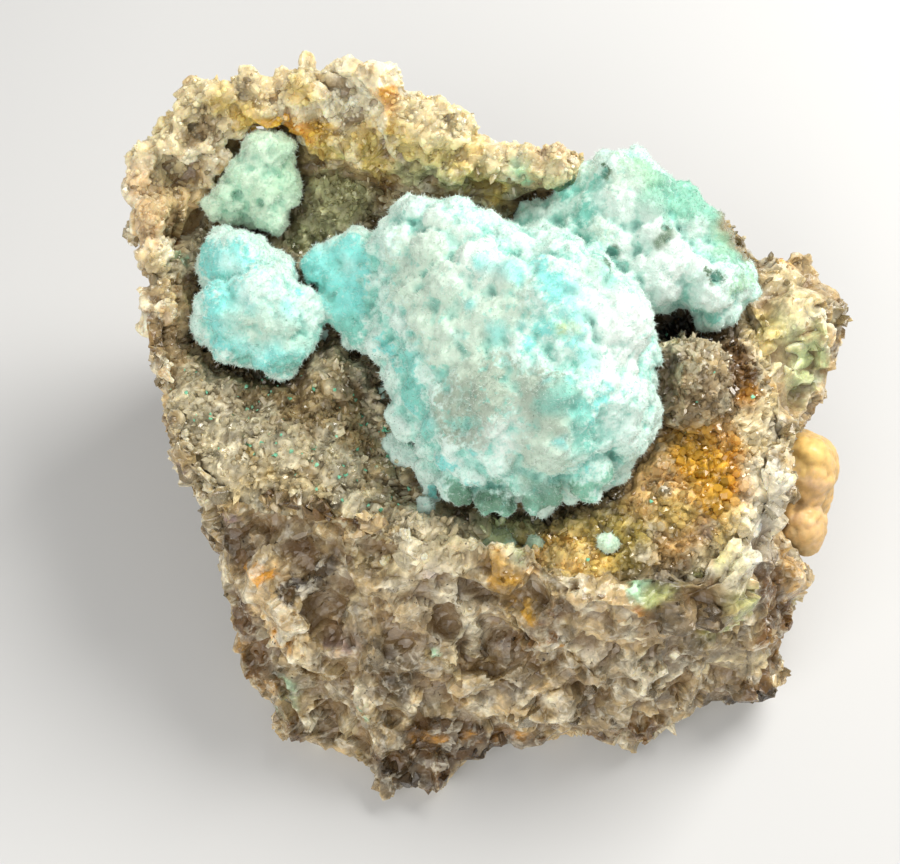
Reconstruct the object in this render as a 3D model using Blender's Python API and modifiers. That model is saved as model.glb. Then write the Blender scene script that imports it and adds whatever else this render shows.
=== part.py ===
"""An aurichalcite specimen about 84 mm across: a broken block of vein quartz with an open pocket in
its upper face, a crust of small quartz crystals lining the pocket, and rounded growths of
aurichalcite standing on the crust.

Run it with: blender --background --python part.py

Blender works in metres. The tables below are in millimetres and are scaled by MM where they are used.
+Z is up, the broken front face looks along -Y, and the stone stands on its sawn base at z = 0."""

import math

import bmesh
import bpy
import numpy as np
from mathutils import Euler, Vector
from mathutils.bvhtree import BVHTree

MM = 0.001

# ---------------------------------------------------------------- the stone, in millimetres
# The upper edge of the stone, seen from above and going round from the back left corner:
# x, y, z, and how far in from the edge the ground takes to fall to the pocket floor.
RIM = (
    (-40.0, 23.8, 40.0, 9.0),
    (-38.7, 27.6, 41.0, 10.0),
    (-35.9, 30.3, 43.0, 12.0),
    (-31.3, 31.5, 44.5, 12.0),
    (-24.4, 31.9, 46.0, 11.0),
    (-16.9, 32.4, 48.0, 12.0),
    (-13.4, 32.1, 48.5, 12.0),
    (-10.9, 29.3, 47.0, 11.0),
    (-6.1, 27.1, 46.0, 10.0),
    (0.3, 25.8, 44.0, 9.0),
    (9.1, 25.3, 42.0, 8.0),
    (14.7, 25.7, 41.0, 8.0),
    (23.7, 23.2, 38.0, 8.0),
    (26.4, 20.6, 37.0, 8.0),
    (29.4, 18.4, 34.0, 8.0),
    (34.7, 19.1, 29.0, 8.0),
    (41.0, 19.3, 27.0, 8.0),
    (43.7, 15.6, 25.0, 8.0),
    (40.2, 8.4, 26.0, 8.0),
    (38.8, 3.3, 27.0, 8.0),
    (35.4, -1.8, 29.0, 9.0),
    (31.3, -8.9, 31.0, 9.0),
    (29.6, -15.1, 31.0, 8.0),
    (26.1, -20.8, 30.0, 6.0),
    (20.3, -23.1, 30.0, 5.0),
    (11.3, -23.4, 29.0, 5.0),
    (3.1, -19.0, 31.0, 4.0),
    (-5.0, -17.7, 31.0, 4.0),
    (-19.6, -13.2, 31.0, 6.0),
    (-27.1, -12.2, 30.0, 6.0),
    (-31.8, -13.6, 28.0, 6.0),
    (-34.0, -5.4, 31.0, 6.0),
    (-35.7, 2.0, 33.0, 6.0),
    (-37.5, 10.2, 36.0, 7.0),
    (-38.6, 17.5, 38.5, 8.0),
)

# Half way down the sides: x, y, z.
WAIST = (
    (-38.5, 22.0, 24.0),
    (-34.0, 29.0, 24.0),
    (-16.0, 31.0, 24.0),
    (4.0, 26.5, 24.0),
    (24.0, 24.0, 22.0),
    (38.0, 19.0, 18.0),
    (41.0, 12.0, 18.0),
    (36.5, 2.0, 18.0),
    (34.5, -8.0, 17.0),
    (35.8, -17.4, 15.0),
    (30.1, -23.4, 17.0),
    (23.2, -25.5, 18.0),
    (12.4, -27.3, 16.0),
    (1.4, -26.6, 18.0),
    (-9.4, -25.6, 19.0),
    (-20.3, -22.7, 20.0),
    (-28.6, -18.6, 20.0),
    (-35.0, -4.0, 20.0),
    (-37.5, 8.0, 22.0),
)

# The outline that the stone stands in, a little above its base: x, y, z.
FOOT = (
    (-35.0, 20.0, 3.0),
    (-30.0, 26.0, 3.0),
    (-12.0, 29.0, 3.0),
    (8.0, 26.0, 3.0),
    (24.0, 22.0, 3.0),
    (36.0, 14.0, 3.0),
    (36.5, 2.0, 3.0),
    (36.0, -12.0, 4.0),
    (36.8, -20.0, 5.0),
    (32.5, -26.8, 5.0),
    (24.0, -28.9, 4.0),
    (19.3, -31.7, 3.0),
    (1.2, -32.7, 3.0),
    (-5.1, -36.3, 3.0),
    (-9.2, -37.1, 3.0),
    (-16.7, -33.7, 3.0),
    (-25.5, -30.0, 4.0),
    (-27.6, -27.0, 6.0),
    (-30.0, -16.0, 4.0),
    (-34.0, 2.0, 3.0),
)

AXIS = (-1.0, -2.0)  # the upright line that the three outlines are measured from
FLOOR_Z = 29.5  # the pocket floor at y = 0
FLOOR_SLOPE = 0.10  # how fast the floor climbs to the back
BASE_BELOW = 4.0  # how far the rough underside reaches before it is sawn off at z = 0

# Swells and hollows of the ground inside the rim: x, y, half length, half width, turn, rise.
GROUND_FORMS = (
    (23.3, 9.1, 5.5, 4.5, 0, -5.5),  # the dark hole under the right-hand growth
    (22.7, 0.8, 5.5, 5.0, 0, 3.6),  # the grey crystal ball beside it
    (27.8, 2.0, 3.2, 9.0, 0, 2.6),  # the ridge between that hole and the right ledge
    (21.0, -13.0, 9.0, 6.0, 20, 2.0),  # the yellow shoulder
    (-11.0, -6.0, 3.5, 10.0, 25, -3.2),  # the gully along the ball's left foot
    (3.0, -15.6, 9.0, 2.6, 0, -2.0),  # the gully along its front foot
    (-22.0, -6.0, 8.0, 5.0, 0, 1.6),  # the sparkling swell at the front left
    (-17.6, 22.2, 4.0, 3.0, 0, 2.0),  # the grey lumps under the back wall
    (-30.0, 21.0, 3.0, 6.0, 0, -2.0),  # the dark corner beside the green growth
    (-19.0, 19.5, 7.0, 2.5, 0, -2.5),  # the dark floor behind the left growths
    (36.0, 9.0, 4.0, 7.0, -10, 2.0),  # the pale knob on the right ledge
)

# Knobs and scoops of the sides: x, y, z, radius, rise.
SIDE_FORMS = (
    (-9.0, -36.0, 6.0, 7.0, 2.0),  # the toe of the stone
    (36.0, -20.0, 12.0, 7.0, 2.5),  # the brown knob at the front right
    (33.0, -27.0, 7.0, 5.0, 1.5),  # the dark corner below it
    (1.0, -24.0, 22.0, 6.0, -2.5),  # the dark cleft in the front face
    (-14.0, -22.5, 23.0, 6.0, -2.0),
    (15.0, -27.5, 17.0, 8.0, 2.0),  # the white quartz bulge of the front face
    (-22.4, -26.5, 13.0, 4.5, -2.5),  # the cavity with the green lining
    (-27.0, -16.0, 22.0, 5.0, -1.5),
    (44.0, 14.0, 24.0, 5.0, 1.5),  # the tip of the right ledge
    (10.0, 27.0, 22.0, 9.0, -2.5),
    (-28.0, 31.0, 20.0, 9.0, -2.0),
    (-37.0, 5.0, 14.0, 8.0, -2.0),
)

STONE_ACROSS, STONE_DOWN = 240, 150  # corners of the stone's grid before it is thinned
STONE_VOXEL = 0.9
BLOCK_TRIANGLES = 2000
STONE_TRIANGLES = 2600
FRACTURES = ((7.0, 0.3, 1.5), (3.4, 0.35, 0.8))  # size, tilt and depth of the broken faces

# ---------------------------------------------------------------- the crust of small crystals
CRUST_OUTLINE = (
    (-35.0, 6.0),
    (-35.5, 14.0),
    (-34.0, 21.0),
    (-30.0, 25.5),
    (-22.0, 26.5),
    (-14.0, 25.5),
    (-6.0, 22.0),
    (4.0, 21.5),
    (12.0, 21.0),
    (22.0, 19.5),
    (28.5, 14.0),
    (30.0, 6.0),
    (31.0, -4.0),
    (27.5, -14.0),
    (21.0, -19.5),
    (11.0, -19.5),
    (2.0, -16.5),
    (-8.0, -15.3),
    (-19.0, -11.5),
    (-27.0, -10.2),
    (-31.0, -8.0),
    (-33.0, -1.0),
)
CRUST_ABOVE, CRUST_BELOW = 0.25, 1.9
CRUST_ACROSS, CRUST_DOWN = 64, 40
BLANKET_TRIANGLES = 600
CRYSTALS = 64
CRUST_GAP = 0.9

# ---------------------------------------------------------------- the aurichalcite
# Each growth has a girdle, its widest outline, as x, y, z round its centre. Its crown is the height
# above the girdle and its root the depth below it. Lumps are x, y, radius and rise.
BALL = {
    "centre": (2.8, 1.2, 34.5),
    "girdle": (
        (-13.2, 13.5, 35.5),
        (-11.1, 18.3, 38.0),
        (-7.2, 18.5, 39.5),
        (-2.9, 17.3, 39.5),
        (2.0, 16.2, 38.0),
        (7.9, 14.9, 38.0),
        (12.2, 12.4, 37.0),
        (16.4, 7.9, 36.0),
        (18.2, 3.3, 35.0),
        (18.3, -2.2, 34.0),
        (17.6, -6.4, 33.0),
        (15.3, -10.0, 32.0),
        (11.6, -12.0, 31.0),
        (6.0, -13.8, 30.5),
        (-0.9, -13.3, 30.5),
        (-5.1, -10.8, 30.5),
        (-7.2, -8.3, 31.0),
        (-9.3, -4.2, 31.0),
        (-11.2, 0.7, 32.0),
        (-13.0, 5.1, 33.0),
    ),
    "crown": 11.0,
    "root": 7.0,
    "knob": (2.8, 1.5),
    "lumps": (
        (-7.5, 13.5, 6.0, 1.8),
        (-1.0, 13.0, 5.5, 1.4),
        (11.0, 5.0, 8.0, 1.8),
        (6.5, -8.0, 5.0, 2.4),
        (-2.0, -6.5, 4.0, 1.2),
        (13.5, -5.5, 5.0, 1.2),
        (-6.0, 3.0, 4.5, 1.0),
        (2.5, -2.5, 4.0, -1.0),
        (3.0, 6.0, 6.0, 0.9),
    ),
}
BRIDGE = {
    "centre": (-14.5, 12.0, 34.0),
    "girdle": (
        (-20.4, 14.9, 33.0),
        (-18.5, 17.3, 34.0),
        (-15.7, 18.6, 35.0),
        (-11.5, 18.6, 35.0),
        (-8.0, 12.0, 35.0),
        (-9.0, 5.0, 33.0),
        (-11.6, 3.6, 32.0),
        (-14.4, 5.6, 32.0),
        (-16.2, 7.6, 32.0),
        (-17.2, 10.6, 33.0),
    ),
    "crown": 3.4,
    "root": 5.0,
    "knob": (2.4, 1.2),
    "lumps": (),
}
DRAPE = {
    "centre": (17.0, 15.5, 37.0),
    "girdle": (
        (0.0, 16.5, 35.5),
        (2.2, 20.6, 34.5),
        (6.7, 23.2, 36.5),
        (10.4, 24.9, 39.5),
        (13.5, 25.9, 41.0),
        (16.9, 25.7, 40.5),
        (18.4, 24.3, 40.0),
        (22.7, 22.7, 38.5),
        (24.8, 20.4, 37.5),
        (27.4, 17.2, 36.0),
        (30.0, 15.1, 34.0),
        (31.4, 11.8, 33.0),
        (28.1, 9.6, 32.5),
        (27.3, 7.8, 32.0),
        (24.5, 7.2, 32.0),
        (22.3, 8.6, 32.5),
        (18.8, 7.8, 33.5),
        (15.5, 8.6, 34.5),
        (8.0, 11.0, 35.5),
    ),
    "crown": 2.6,
    "root": 4.5,
    "knob": (2.6, 1.3),
    "lumps": (
        (15.0, 19.0, 6.0, 1.8),
        (19.8, 11.0, 4.6, 3.0),
        (25.4, 9.8, 3.6, 2.6),
        (25.0, 16.0, 5.0, 0.8),
        (21.5, 14.8, 3.0, -1.2),
    ),
}
LEFT = {
    "centre": (-25.6, 10.0, 34.5),
    "girdle": (
        (-32.6, 14.3, 34.0),
        (-31.2, 18.0, 34.0),
        (-28.9, 18.8, 34.0),
        (-26.2, 17.5, 34.0),
        (-23.6, 17.0, 34.0),
        (-21.2, 15.3, 34.0),
        (-20.8, 12.1, 34.0),
        (-18.6, 10.1, 34.0),
        (-17.2, 7.9, 33.0),
        (-19.2, 5.4, 33.0),
        (-20.5, 2.2, 32.0),
        (-22.1, 1.7, 32.0),
        (-25.1, 2.8, 32.0),
        (-29.6, 3.9, 32.0),
        (-32.6, 6.5, 32.0),
        (-32.0, 8.6, 33.0),
        (-30.1, 10.1, 33.0),
        (-31.4, 12.0, 34.0),
    ),
    "crown": 3.6,
    "root": 5.0,
    "knob": (2.4, 1.2),
    "lumps": ((-28.0, 15.2, 5.0, 1.8), (-24.0, 7.5, 5.5, 1.8), (-29.4, 7.0, 3.5, 0.8)),
}
GREEN = {
    "centre": (-24.9, 22.6, 37.0),
    "girdle": (
        (-30.1, 23.4, 36.0),
        (-28.7, 26.4, 37.5),
        (-26.5, 28.2, 39.0),
        (-23.6, 28.6, 40.0),
        (-21.5, 27.7, 40.0),
        (-20.6, 25.3, 38.5),
        (-20.2, 22.9, 37.0),
        (-21.8, 20.9, 36.0),
        (-22.4, 18.4, 35.0),
        (-24.9, 18.4, 35.0),
        (-27.0, 20.0, 35.0),
        (-29.4, 20.4, 35.0),
        (-31.4, 20.6, 34.5),
        (-31.4, 22.4, 35.0),
    ),
    "crown": 3.0,
    "root": 4.5,
    "knob": (2.0, 1.1),
    "lumps": ((-26.5, 23.4, 3.5, 1.2), (-23.4, 26.2, 3.2, 1.0), (-23.8, 19.4, 2.6, 0.8)),
}

# Lone nodules: node name, x, y, radius, and how far the middle stands above the ground.
NODULES = (
    ("aurichalcite_nodule_left", -6.4, -11.9, 1.6, 0.8),
    ("aurichalcite_nodule_front", 0.9, -15.5, 2.2, 0.6),
    ("aurichalcite_nodule_middle", 4.9, -15.6, 1.5, 0.6),
    ("aurichalcite_nodule_right", 12.5, -16.1, 1.5, 0.7),
)

# The iron-brown knobs on the right-hand side: x, y, z, radius.
BROWN_KNOBS = ((37.0, -2.3, 17.5, 4.9), (36.0, -8.6, 14.6, 4.0), (38.3, -5.6, 14.6, 3.0))

GROWTH_ACROSS, GROWTH_DOWN = 200, 120
GROWTH_VOXEL = 0.35
MASS_TRIANGLES = 2000
LEFT_TRIANGLES = 440
GREEN_TRIANGLES = 320
BROWN_TRIANGLES = 280
GROWTH_GAP = 0.4  # between neighbouring growths
SMALL = 300  # pieces of no more triangles than this get a seat that follows them closely
SEAT_DETAIL = 0.18  # how much simpler a seat is than the growth in it
SEAT_GAP = 0.9  # clearance between a growth and the seat cut for it
CLEARANCE = 0.12  # the least room left between two pieces
SEED = 7


# ---------------------------------------------------------------- outlines and ground
class Outline:
    """A closed outline round an upright axis: its distance, and whatever else its points hold, at
    any bearing. Between two points it runs straight."""

    def __init__(self, points, axis):
        rows = np.array(points, float)
        self.axis = np.array(axis[:2], float)
        reach = rows[:, :2] - self.axis
        bearing = np.arctan2(reach[:, 1], reach[:, 0])
        order = np.argsort(bearing)
        self.bearing = bearing[order]
        self.distance = np.hypot(reach[:, 0], reach[:, 1])[order]
        self.extra = rows[order, 2:]

    def at(self, bearing):
        """The distance from the axis at each bearing, and the points' other columns there."""
        after = np.searchsorted(self.bearing, bearing) % len(self.bearing)
        before = after - 1
        swing = (self.bearing[after] - self.bearing[before]) % (2 * math.pi)
        turn = (bearing - self.bearing[before]) % (2 * math.pi)
        near, far = self.distance[before], self.distance[after]
        passed = near * np.sin(turn)
        ahead = far * np.sin(swing - turn)
        distance = near * far * np.sin(swing) / (passed + ahead)
        share = (passed / (passed + ahead))[:, None]
        return distance, self.extra[before] * (1 - share) + self.extra[after] * share


def ease(x):
    """0 to 1 with level ends."""
    x = np.clip(x, 0.0, 1.0)
    return x * x * (3 - 2 * x)


rim_outline = Outline(RIM, AXIS)
waist_outline = Outline(WAIST, AXIS)
foot_outline = Outline(FOOT, AXIS)


def ground(x, y):
    """The height of the stone's upper face at each place."""
    bearing = np.arctan2(y - AXIS[1], x - AXIS[0])
    distance = np.hypot(x - AXIS[0], y - AXIS[1])
    edge, (edge_z, wall) = (lambda d, e: (d, e.T))(*rim_outline.at(bearing))
    floor = FLOOR_Z + FLOOR_SLOPE * y
    height = floor + (edge_z - floor) * ease(1 - (edge - distance) / wall)
    inside = ease((edge - distance) / 3.0)
    for cx, cy, half_x, half_y, turn, rise in GROUND_FORMS:
        c, s = math.cos(math.radians(turn)), math.sin(math.radians(turn))
        u = ((x - cx) * c + (y - cy) * s) / half_x
        v = ((y - cy) * c - (x - cx) * s) / half_y
        height += inside * rise * np.clip(1 - u * u - v * v, 0, 1) ** 1.5
    return height


# ---------------------------------------------------------------- mesh helpers
def globe(name, across, down, collection):
    """A UV sphere primitive, and for each corner its bearing and its turn from the top, 0 to pi."""
    bm = bmesh.new()
    bmesh.ops.create_uvsphere(bm, u_segments=across, v_segments=down, radius=1)
    mesh = bpy.data.meshes.new(name)
    bm.to_mesh(mesh)
    bm.free()
    obj = bpy.data.objects.new(name, mesh)
    collection.objects.link(obj)
    unit = points_of(mesh)
    return obj, np.arctan2(unit[:, 1], unit[:, 0]), np.arccos(np.clip(unit[:, 2], -1, 1))


def points_of(mesh):
    flat = np.zeros(len(mesh.vertices) * 3, np.float32)
    mesh.vertices.foreach_get("co", flat)
    return flat.reshape(-1, 3).astype(float)


def move_points(mesh, points):
    mesh.vertices.foreach_set("co", points.astype(np.float32).ravel())
    mesh.update()


def normals_of(mesh):
    flat = np.zeros(len(mesh.vertices) * 3, np.float32)
    mesh.vertices.foreach_get("normal", flat)
    return flat.reshape(-1, 3).astype(float)


def near_seeds(points, spacing, rng):
    """The 27 seeds round each point, on a lattice whose points are shaken, and the seeds' numbers."""
    size = 32
    shake = rng.uniform(0.08, 0.92, (size, size, size, 3))
    steps = np.array([(i, j, k) for i in (-1, 0, 1) for j in (-1, 0, 1) for k in (-1, 0, 1)])
    cells = np.floor(points / spacing).astype(int)[:, None] + steps
    i, j, k = np.moveaxis(cells % size, 2, 0)
    return (cells + shake[i, j, k]) * spacing, (i * size + j) * size + k


def fracture(points, cell, tilt, depth, rng):
    """How far each corner moves out, never more than the depth either way, so that the surface
    breaks into flat chips of about the cell's size, each tilted its own way."""
    seeds, number = near_seeds(points, cell * MM, rng)
    nearest = np.linalg.norm(seeds - points[:, None], axis=2).argmin(axis=1)
    rows = np.arange(len(points))
    seed, own = seeds[rows, nearest], number[rows, nearest]
    lean = rng.normal(0, tilt, (32**3, 3))[own]
    lift = rng.uniform(-0.4, 0.4, 32**3)[own] * depth * MM
    return np.clip(((points - seed) * lean).sum(axis=1) + lift, -depth * MM, depth * MM)


def knobs(points, size, height, rng):
    """How far each corner moves out, so that the surface swells into rounded knobs."""
    seeds, number = near_seeds(points, size * 1.2 * MM, rng)
    radius = rng.uniform(0.8, 1.25, 32**3)[number] * size * MM
    gaps = np.linalg.norm(seeds - points[:, None], axis=2) / radius
    return (np.sqrt(np.clip(1 - gaps * gaps, 0, 1)).max(axis=1) - 0.5) * height * MM


def evaluated_mesh(obj):
    """The object's mesh with its modifiers applied."""
    graph = bpy.context.evaluated_depsgraph_get()
    return bpy.data.meshes.new_from_object(obj.evaluated_get(graph))


def apply_modifiers(obj):
    made = evaluated_mesh(obj)
    obj.modifiers.clear()
    obj.data = made


def reskin(obj, voxel, triangles):
    """Wraps the object in one closed skin, folds and overlaps gone, of about this many triangles."""
    skin = obj.modifiers.new("skin", "REMESH")
    skin.mode = "VOXEL"
    skin.voxel_size = voxel * MM
    even = obj.modifiers.new("even", "SMOOTH")
    even.factor = 0.5
    even.iterations = 1
    apply_modifiers(obj)
    thin(obj, triangles)


def thin(obj, triangles):
    """Decimates the object to about this many triangles."""
    obj.modifiers.new("triangles", "TRIANGULATE")
    modifier = obj.modifiers.new("thin", "DECIMATE")
    modifier.ratio = min(1.0, triangles / sum(len(p.vertices) - 2 for p in obj.data.polygons))
    modifier.use_collapse_triangulate = True
    apply_modifiers(obj)
    part_folds(obj)


def part_folds(obj):
    """Smooths the few corners where thinning has pushed one face through another."""
    bm = bmesh.new()
    bm.from_mesh(obj.data)
    for _ in range(6):
        bm.faces.ensure_lookup_table()
        tree = BVHTree.FromBMesh(bm)
        crossing = set()
        for i, j in tree.overlap(tree):
            if i < j and not set(bm.faces[i].verts) & set(bm.faces[j].verts):
                crossing.update(bm.faces[i].verts, bm.faces[j].verts)
        if not crossing:
            break
        crossing.update([e.other_vert(v) for v in list(crossing) for e in v.link_edges])
        corners = [v for v in bm.verts if v in crossing]
        bmesh.ops.smooth_vert(
            bm, verts=corners, factor=0.5, use_axis_x=True, use_axis_y=True, use_axis_z=True
        )
    bm.to_mesh(obj.data)
    bm.free()


def boolean(obj, tool, operation):
    modifier = obj.modifiers.new(f"{operation.lower()} {tool.name}", "BOOLEAN")
    modifier.operation = operation
    modifier.object = tool
    modifier.solver = "EXACT"


def hide_tool(obj):
    obj.hide_render = True
    obj.display_type = "WIRE"


def seat_tool(obj, detail, gap, collection):
    """A cutter: a simpler copy of the object with every corner pushed out along its normal."""
    tool = bpy.data.objects.new(f"{obj.name}_seat", obj.data.copy())
    collection.objects.link(tool)
    faces = len(obj.data.polygons)
    thin(tool, max(faces * detail, min(faces, 110)))
    move_points(tool.data, points_of(tool.data) + normals_of(tool.data) * gap * MM)
    hide_tool(tool)
    return tool


def material(name, colour, roughness):
    made = bpy.data.materials.new(name)
    made.use_nodes = True
    shader = made.node_tree.nodes["Principled BSDF"]
    shader.inputs["Base Color"].default_value = (*colour, 1)
    shader.inputs["Roughness"].default_value = roughness
    shader.inputs["Metallic"].default_value = 0
    made.diffuse_color = (*colour, 1)
    return made


# ---------------------------------------------------------------- crystals
def add_crystal(bm, base, direction, radius, length, roll):
    """A six-sided quartz crystal: a prism with a pyramid on it, from base along direction."""
    made = bmesh.ops.create_cone(
        bm, cap_ends=True, segments=6, radius1=radius * 1.12, radius2=radius, depth=length
    )["verts"]
    top = [v for v in made if v.co.z > 0]
    cap = next(f for f in top[0].link_faces if all(v in top for v in f.verts))
    tip = bmesh.ops.poke(bm, faces=[cap], offset=radius * 1.1)["verts"]
    turn = Vector(direction).to_track_quat("Z", "Y").to_matrix().to_4x4()
    turn = turn @ Euler((0, 0, roll)).to_matrix().to_4x4()
    centre = Vector(base) + Vector(direction).normalized() * length / 2
    for v in made + tip:
        v.co = turn @ v.co + centre


def grow_crystals(obj, crystals, tools):
    """Joins the crystals to the object, a batch at a time; those of a batch stand clear of each
    other."""
    batches = []
    for crystal in crystals:
        base, radius, length = crystal[0], crystal[2], crystal[3]
        room = 2 * (length + 2 * radius)
        clear = (b for b in batches if all((base - other[0]).length > room for other in b))
        batch = next(clear, None)
        if batch is None:
            batch = []
            batches.append(batch)
        batch.append(crystal)
    for number, batch in enumerate(batches):
        bm = bmesh.new()
        for crystal in batch:
            add_crystal(bm, *crystal)
        mesh = bpy.data.meshes.new(f"{obj.name}_crystals_{number}")
        bm.to_mesh(mesh)
        bm.free()
        tool = bpy.data.objects.new(mesh.name, mesh)
        tools.objects.link(tool)
        hide_tool(tool)
        boolean(obj, tool, "UNION")
        apply_modifiers(obj)


def keep_largest(obj):
    """Drops the loose chips that cutting can leave."""
    bm = bmesh.new()
    bm.from_mesh(obj.data)
    left = set(bm.verts)
    bodies = []
    while left:
        body = [left.pop()]
        for v in body:
            for edge in v.link_edges:
                other = edge.other_vert(v)
                if other in left:
                    left.discard(other)
                    body.append(other)
        bodies.append(body)
    bodies.sort(key=len)
    loose = {v for body in bodies[:-1] for v in body}
    bmesh.ops.delete(bm, geom=[v for v in bm.verts if v in loose], context="VERTS")
    bm.to_mesh(obj.data)
    bm.free()


def rim_crystals(rng):
    """Blunt crystals side by side along the back and left of the rim, leaning over the pocket."""
    crystals = []
    for row, (inset, size, lean) in enumerate(((2.2, 2.5, 0.1), (5.4, 2.1, 0.45), (8.2, 1.7, 0.8))):
        for degrees in range(70, 196, 10):
            bearing = math.radians(degrees + 5 * (row % 2) + rng.uniform(-2, 2))
            reach = rim_outline.at(np.array([bearing]))[0][0] - inset + rng.uniform(-0.7, 0.7)
            x = AXIS[0] + reach * math.cos(bearing)
            y = AXIS[1] + reach * math.sin(bearing)
            z = ground(np.array([x]), np.array([y]))[0]
            radius = size * rng.uniform(0.75, 1.2)
            inward = Vector((-math.cos(bearing) * lean, -math.sin(bearing) * lean, 1.0))
            wobble = Vector(rng.uniform(-0.3, 0.3, 3))
            base = Vector((x, y, z - 3.2)) * MM
            crystals.append((base, inward + wobble, radius * MM, 3.0 * MM, rng.uniform(0, 1)))
    return crystals


def druse_crystals(rng):
    """Small crystals over the crust, each leaning its own way."""
    crystals = []
    outline = Outline(CRUST_OUTLINE, AXIS)
    golden = math.pi * (3 - math.sqrt(5))
    for i in range(CRYSTALS):
        bearing = (i * golden) % (2 * math.pi) - math.pi
        share = math.sqrt((i + 0.5) / CRYSTALS)
        reach = outline.at(np.array([bearing]))[0][0] * (0.12 + 0.76 * share)
        x = AXIS[0] + reach * math.cos(bearing)
        y = AXIS[1] + reach * math.sin(bearing)
        z = ground(np.array([x]), np.array([y]))[0]
        radius = rng.uniform(0.7, 1.25)
        direction = Vector((rng.uniform(-0.7, 0.7), rng.uniform(-0.7, 0.7), 1.0))
        base = Vector((x, y, z - 0.9)) * MM
        crystals.append((base, direction, radius * MM, 1.5 * MM, rng.uniform(0, 1)))
    return crystals


# ---------------------------------------------------------------- the pieces
def make_stone(collection, tools, rng):
    """The block: the rim, waist and foot outlines joined from top to bottom, with broken faces."""
    obj, bearing, turn = globe("matrix", STONE_ACROSS, STONE_DOWN, collection)
    down = turn / math.pi
    edge, edge_rest = rim_outline.at(bearing)
    waist, waist_rest = waist_outline.at(bearing)
    foot, foot_rest = foot_outline.at(bearing)
    rim_share, waist_share, foot_share = 0.48, 0.66, 0.84
    on_top = down <= rim_share
    to_waist = np.clip((down - rim_share) / (waist_share - rim_share), 0, 1)
    to_foot = np.clip((down - waist_share) / (foot_share - waist_share), 0, 1)
    under = np.clip((down - foot_share) / (1 - foot_share), 0, 1)
    reach = np.where(on_top, edge * down / rim_share, edge + (waist - edge) * to_waist)
    reach = np.where(to_foot > 0, waist + (foot - waist) * to_foot, reach)
    reach = np.where(under > 0, foot * (1 - under), reach)
    x = AXIS[0] + reach * np.cos(bearing)
    y = AXIS[1] + reach * np.sin(bearing)
    side_z = edge_rest[:, 0] + (waist_rest[:, 0] - edge_rest[:, 0]) * to_waist
    side_z = np.where(to_foot > 0, waist_rest[:, 0] + (foot_rest[:, 0] - waist_rest[:, 0]) * to_foot, side_z)
    underside = -BASE_BELOW + (foot_rest[:, 0] + BASE_BELOW) * np.clip(1 - 6 * under, 0, 1)
    side_z = np.where(under > 0, underside, side_z)
    z = np.where(on_top, ground(x, y), side_z)
    points = np.stack([x, y, z], axis=1)
    out = np.stack([np.cos(bearing), np.sin(bearing), 0 * bearing], axis=1)
    for cx, cy, cz, radius, rise in SIDE_FORMS:
        gap = np.linalg.norm(points - (cx, cy, cz), axis=1) / radius
        points += out * (rise * np.clip(1 - gap * gap, 0, 1) ** 1.5)[:, None]
    points = (points - out * 0.8) * MM
    move_points(obj.data, points)
    for cell, tilt, depth in FRACTURES:
        points = points + normals_of(obj.data) * fracture(points, cell, tilt, depth, rng)[:, None]
        move_points(obj.data, points)
    reskin(obj, STONE_VOXEL, BLOCK_TRIANGLES)
    grow_crystals(obj, rim_crystals(rng), tools)
    return obj


def saw_base(obj, tools):
    """Cuts the rough underside off level at z = 0."""
    bm = bmesh.new()
    bmesh.ops.create_cube(bm, size=120 * MM)
    bmesh.ops.translate(bm, verts=bm.verts[:], vec=(0, 0, -60 * MM))
    mesh = bpy.data.meshes.new("saw")
    bm.to_mesh(mesh)
    bm.free()
    saw = bpy.data.objects.new("saw", mesh)
    tools.objects.link(saw)
    hide_tool(saw)
    boolean(obj, saw, "DIFFERENCE")
    apply_modifiers(obj)


def blanket(name, wider, above, below, collection):
    """A layer over the pocket's ground inside the crust's outline made wider, from the depth below
    the ground to the height above it."""
    obj, bearing, turn = globe(name, CRUST_ACROSS, CRUST_DOWN, collection)
    share = np.clip(np.minimum(turn, math.pi - turn) * 2 / math.pi, 0, 1)
    reach = (Outline(CRUST_OUTLINE, AXIS).at(bearing)[0] + wider) * share
    x = AXIS[0] + reach * np.cos(bearing)
    y = AXIS[1] + reach * np.sin(bearing)
    upper = (turn < math.pi / 2) & (share < 0.999)
    z = ground(x, y) + np.where(upper, above, -below)
    move_points(obj.data, np.stack([x, y, z], axis=1) * MM)
    thin(obj, BLANKET_TRIANGLES)
    return obj


def make_crust(collection, tools, stone, rng):
    """The druse: a thin blanket with crystals standing on it, let into the stone's upper face."""
    crust = blanket("pocket_druse", 0, CRUST_ABOVE, CRUST_BELOW, collection)
    bed = blanket("druse_bed", CRUST_GAP, 8, CRUST_BELOW + CRUST_GAP, tools)
    hide_tool(bed)
    boolean(stone, bed, "DIFFERENCE")
    apply_modifiers(stone)
    thin(stone, STONE_TRIANGLES)
    grow_crystals(crust, druse_crystals(rng), tools)
    return crust


def clear(obj, carrier, tools):
    """Trims the object clear of the carrier under it."""
    for lift in (CLEARANCE, 0):
        tool = bpy.data.objects.new(f"{carrier.name}_trim", carrier.data.copy())
        tools.objects.link(tool)
        move_points(tool.data, points_of(tool.data) + (0, 0, lift * MM))
        hide_tool(tool)
        boolean(obj, tool, "DIFFERENCE")
        apply_modifiers(obj)
    keep_largest(obj)


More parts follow.
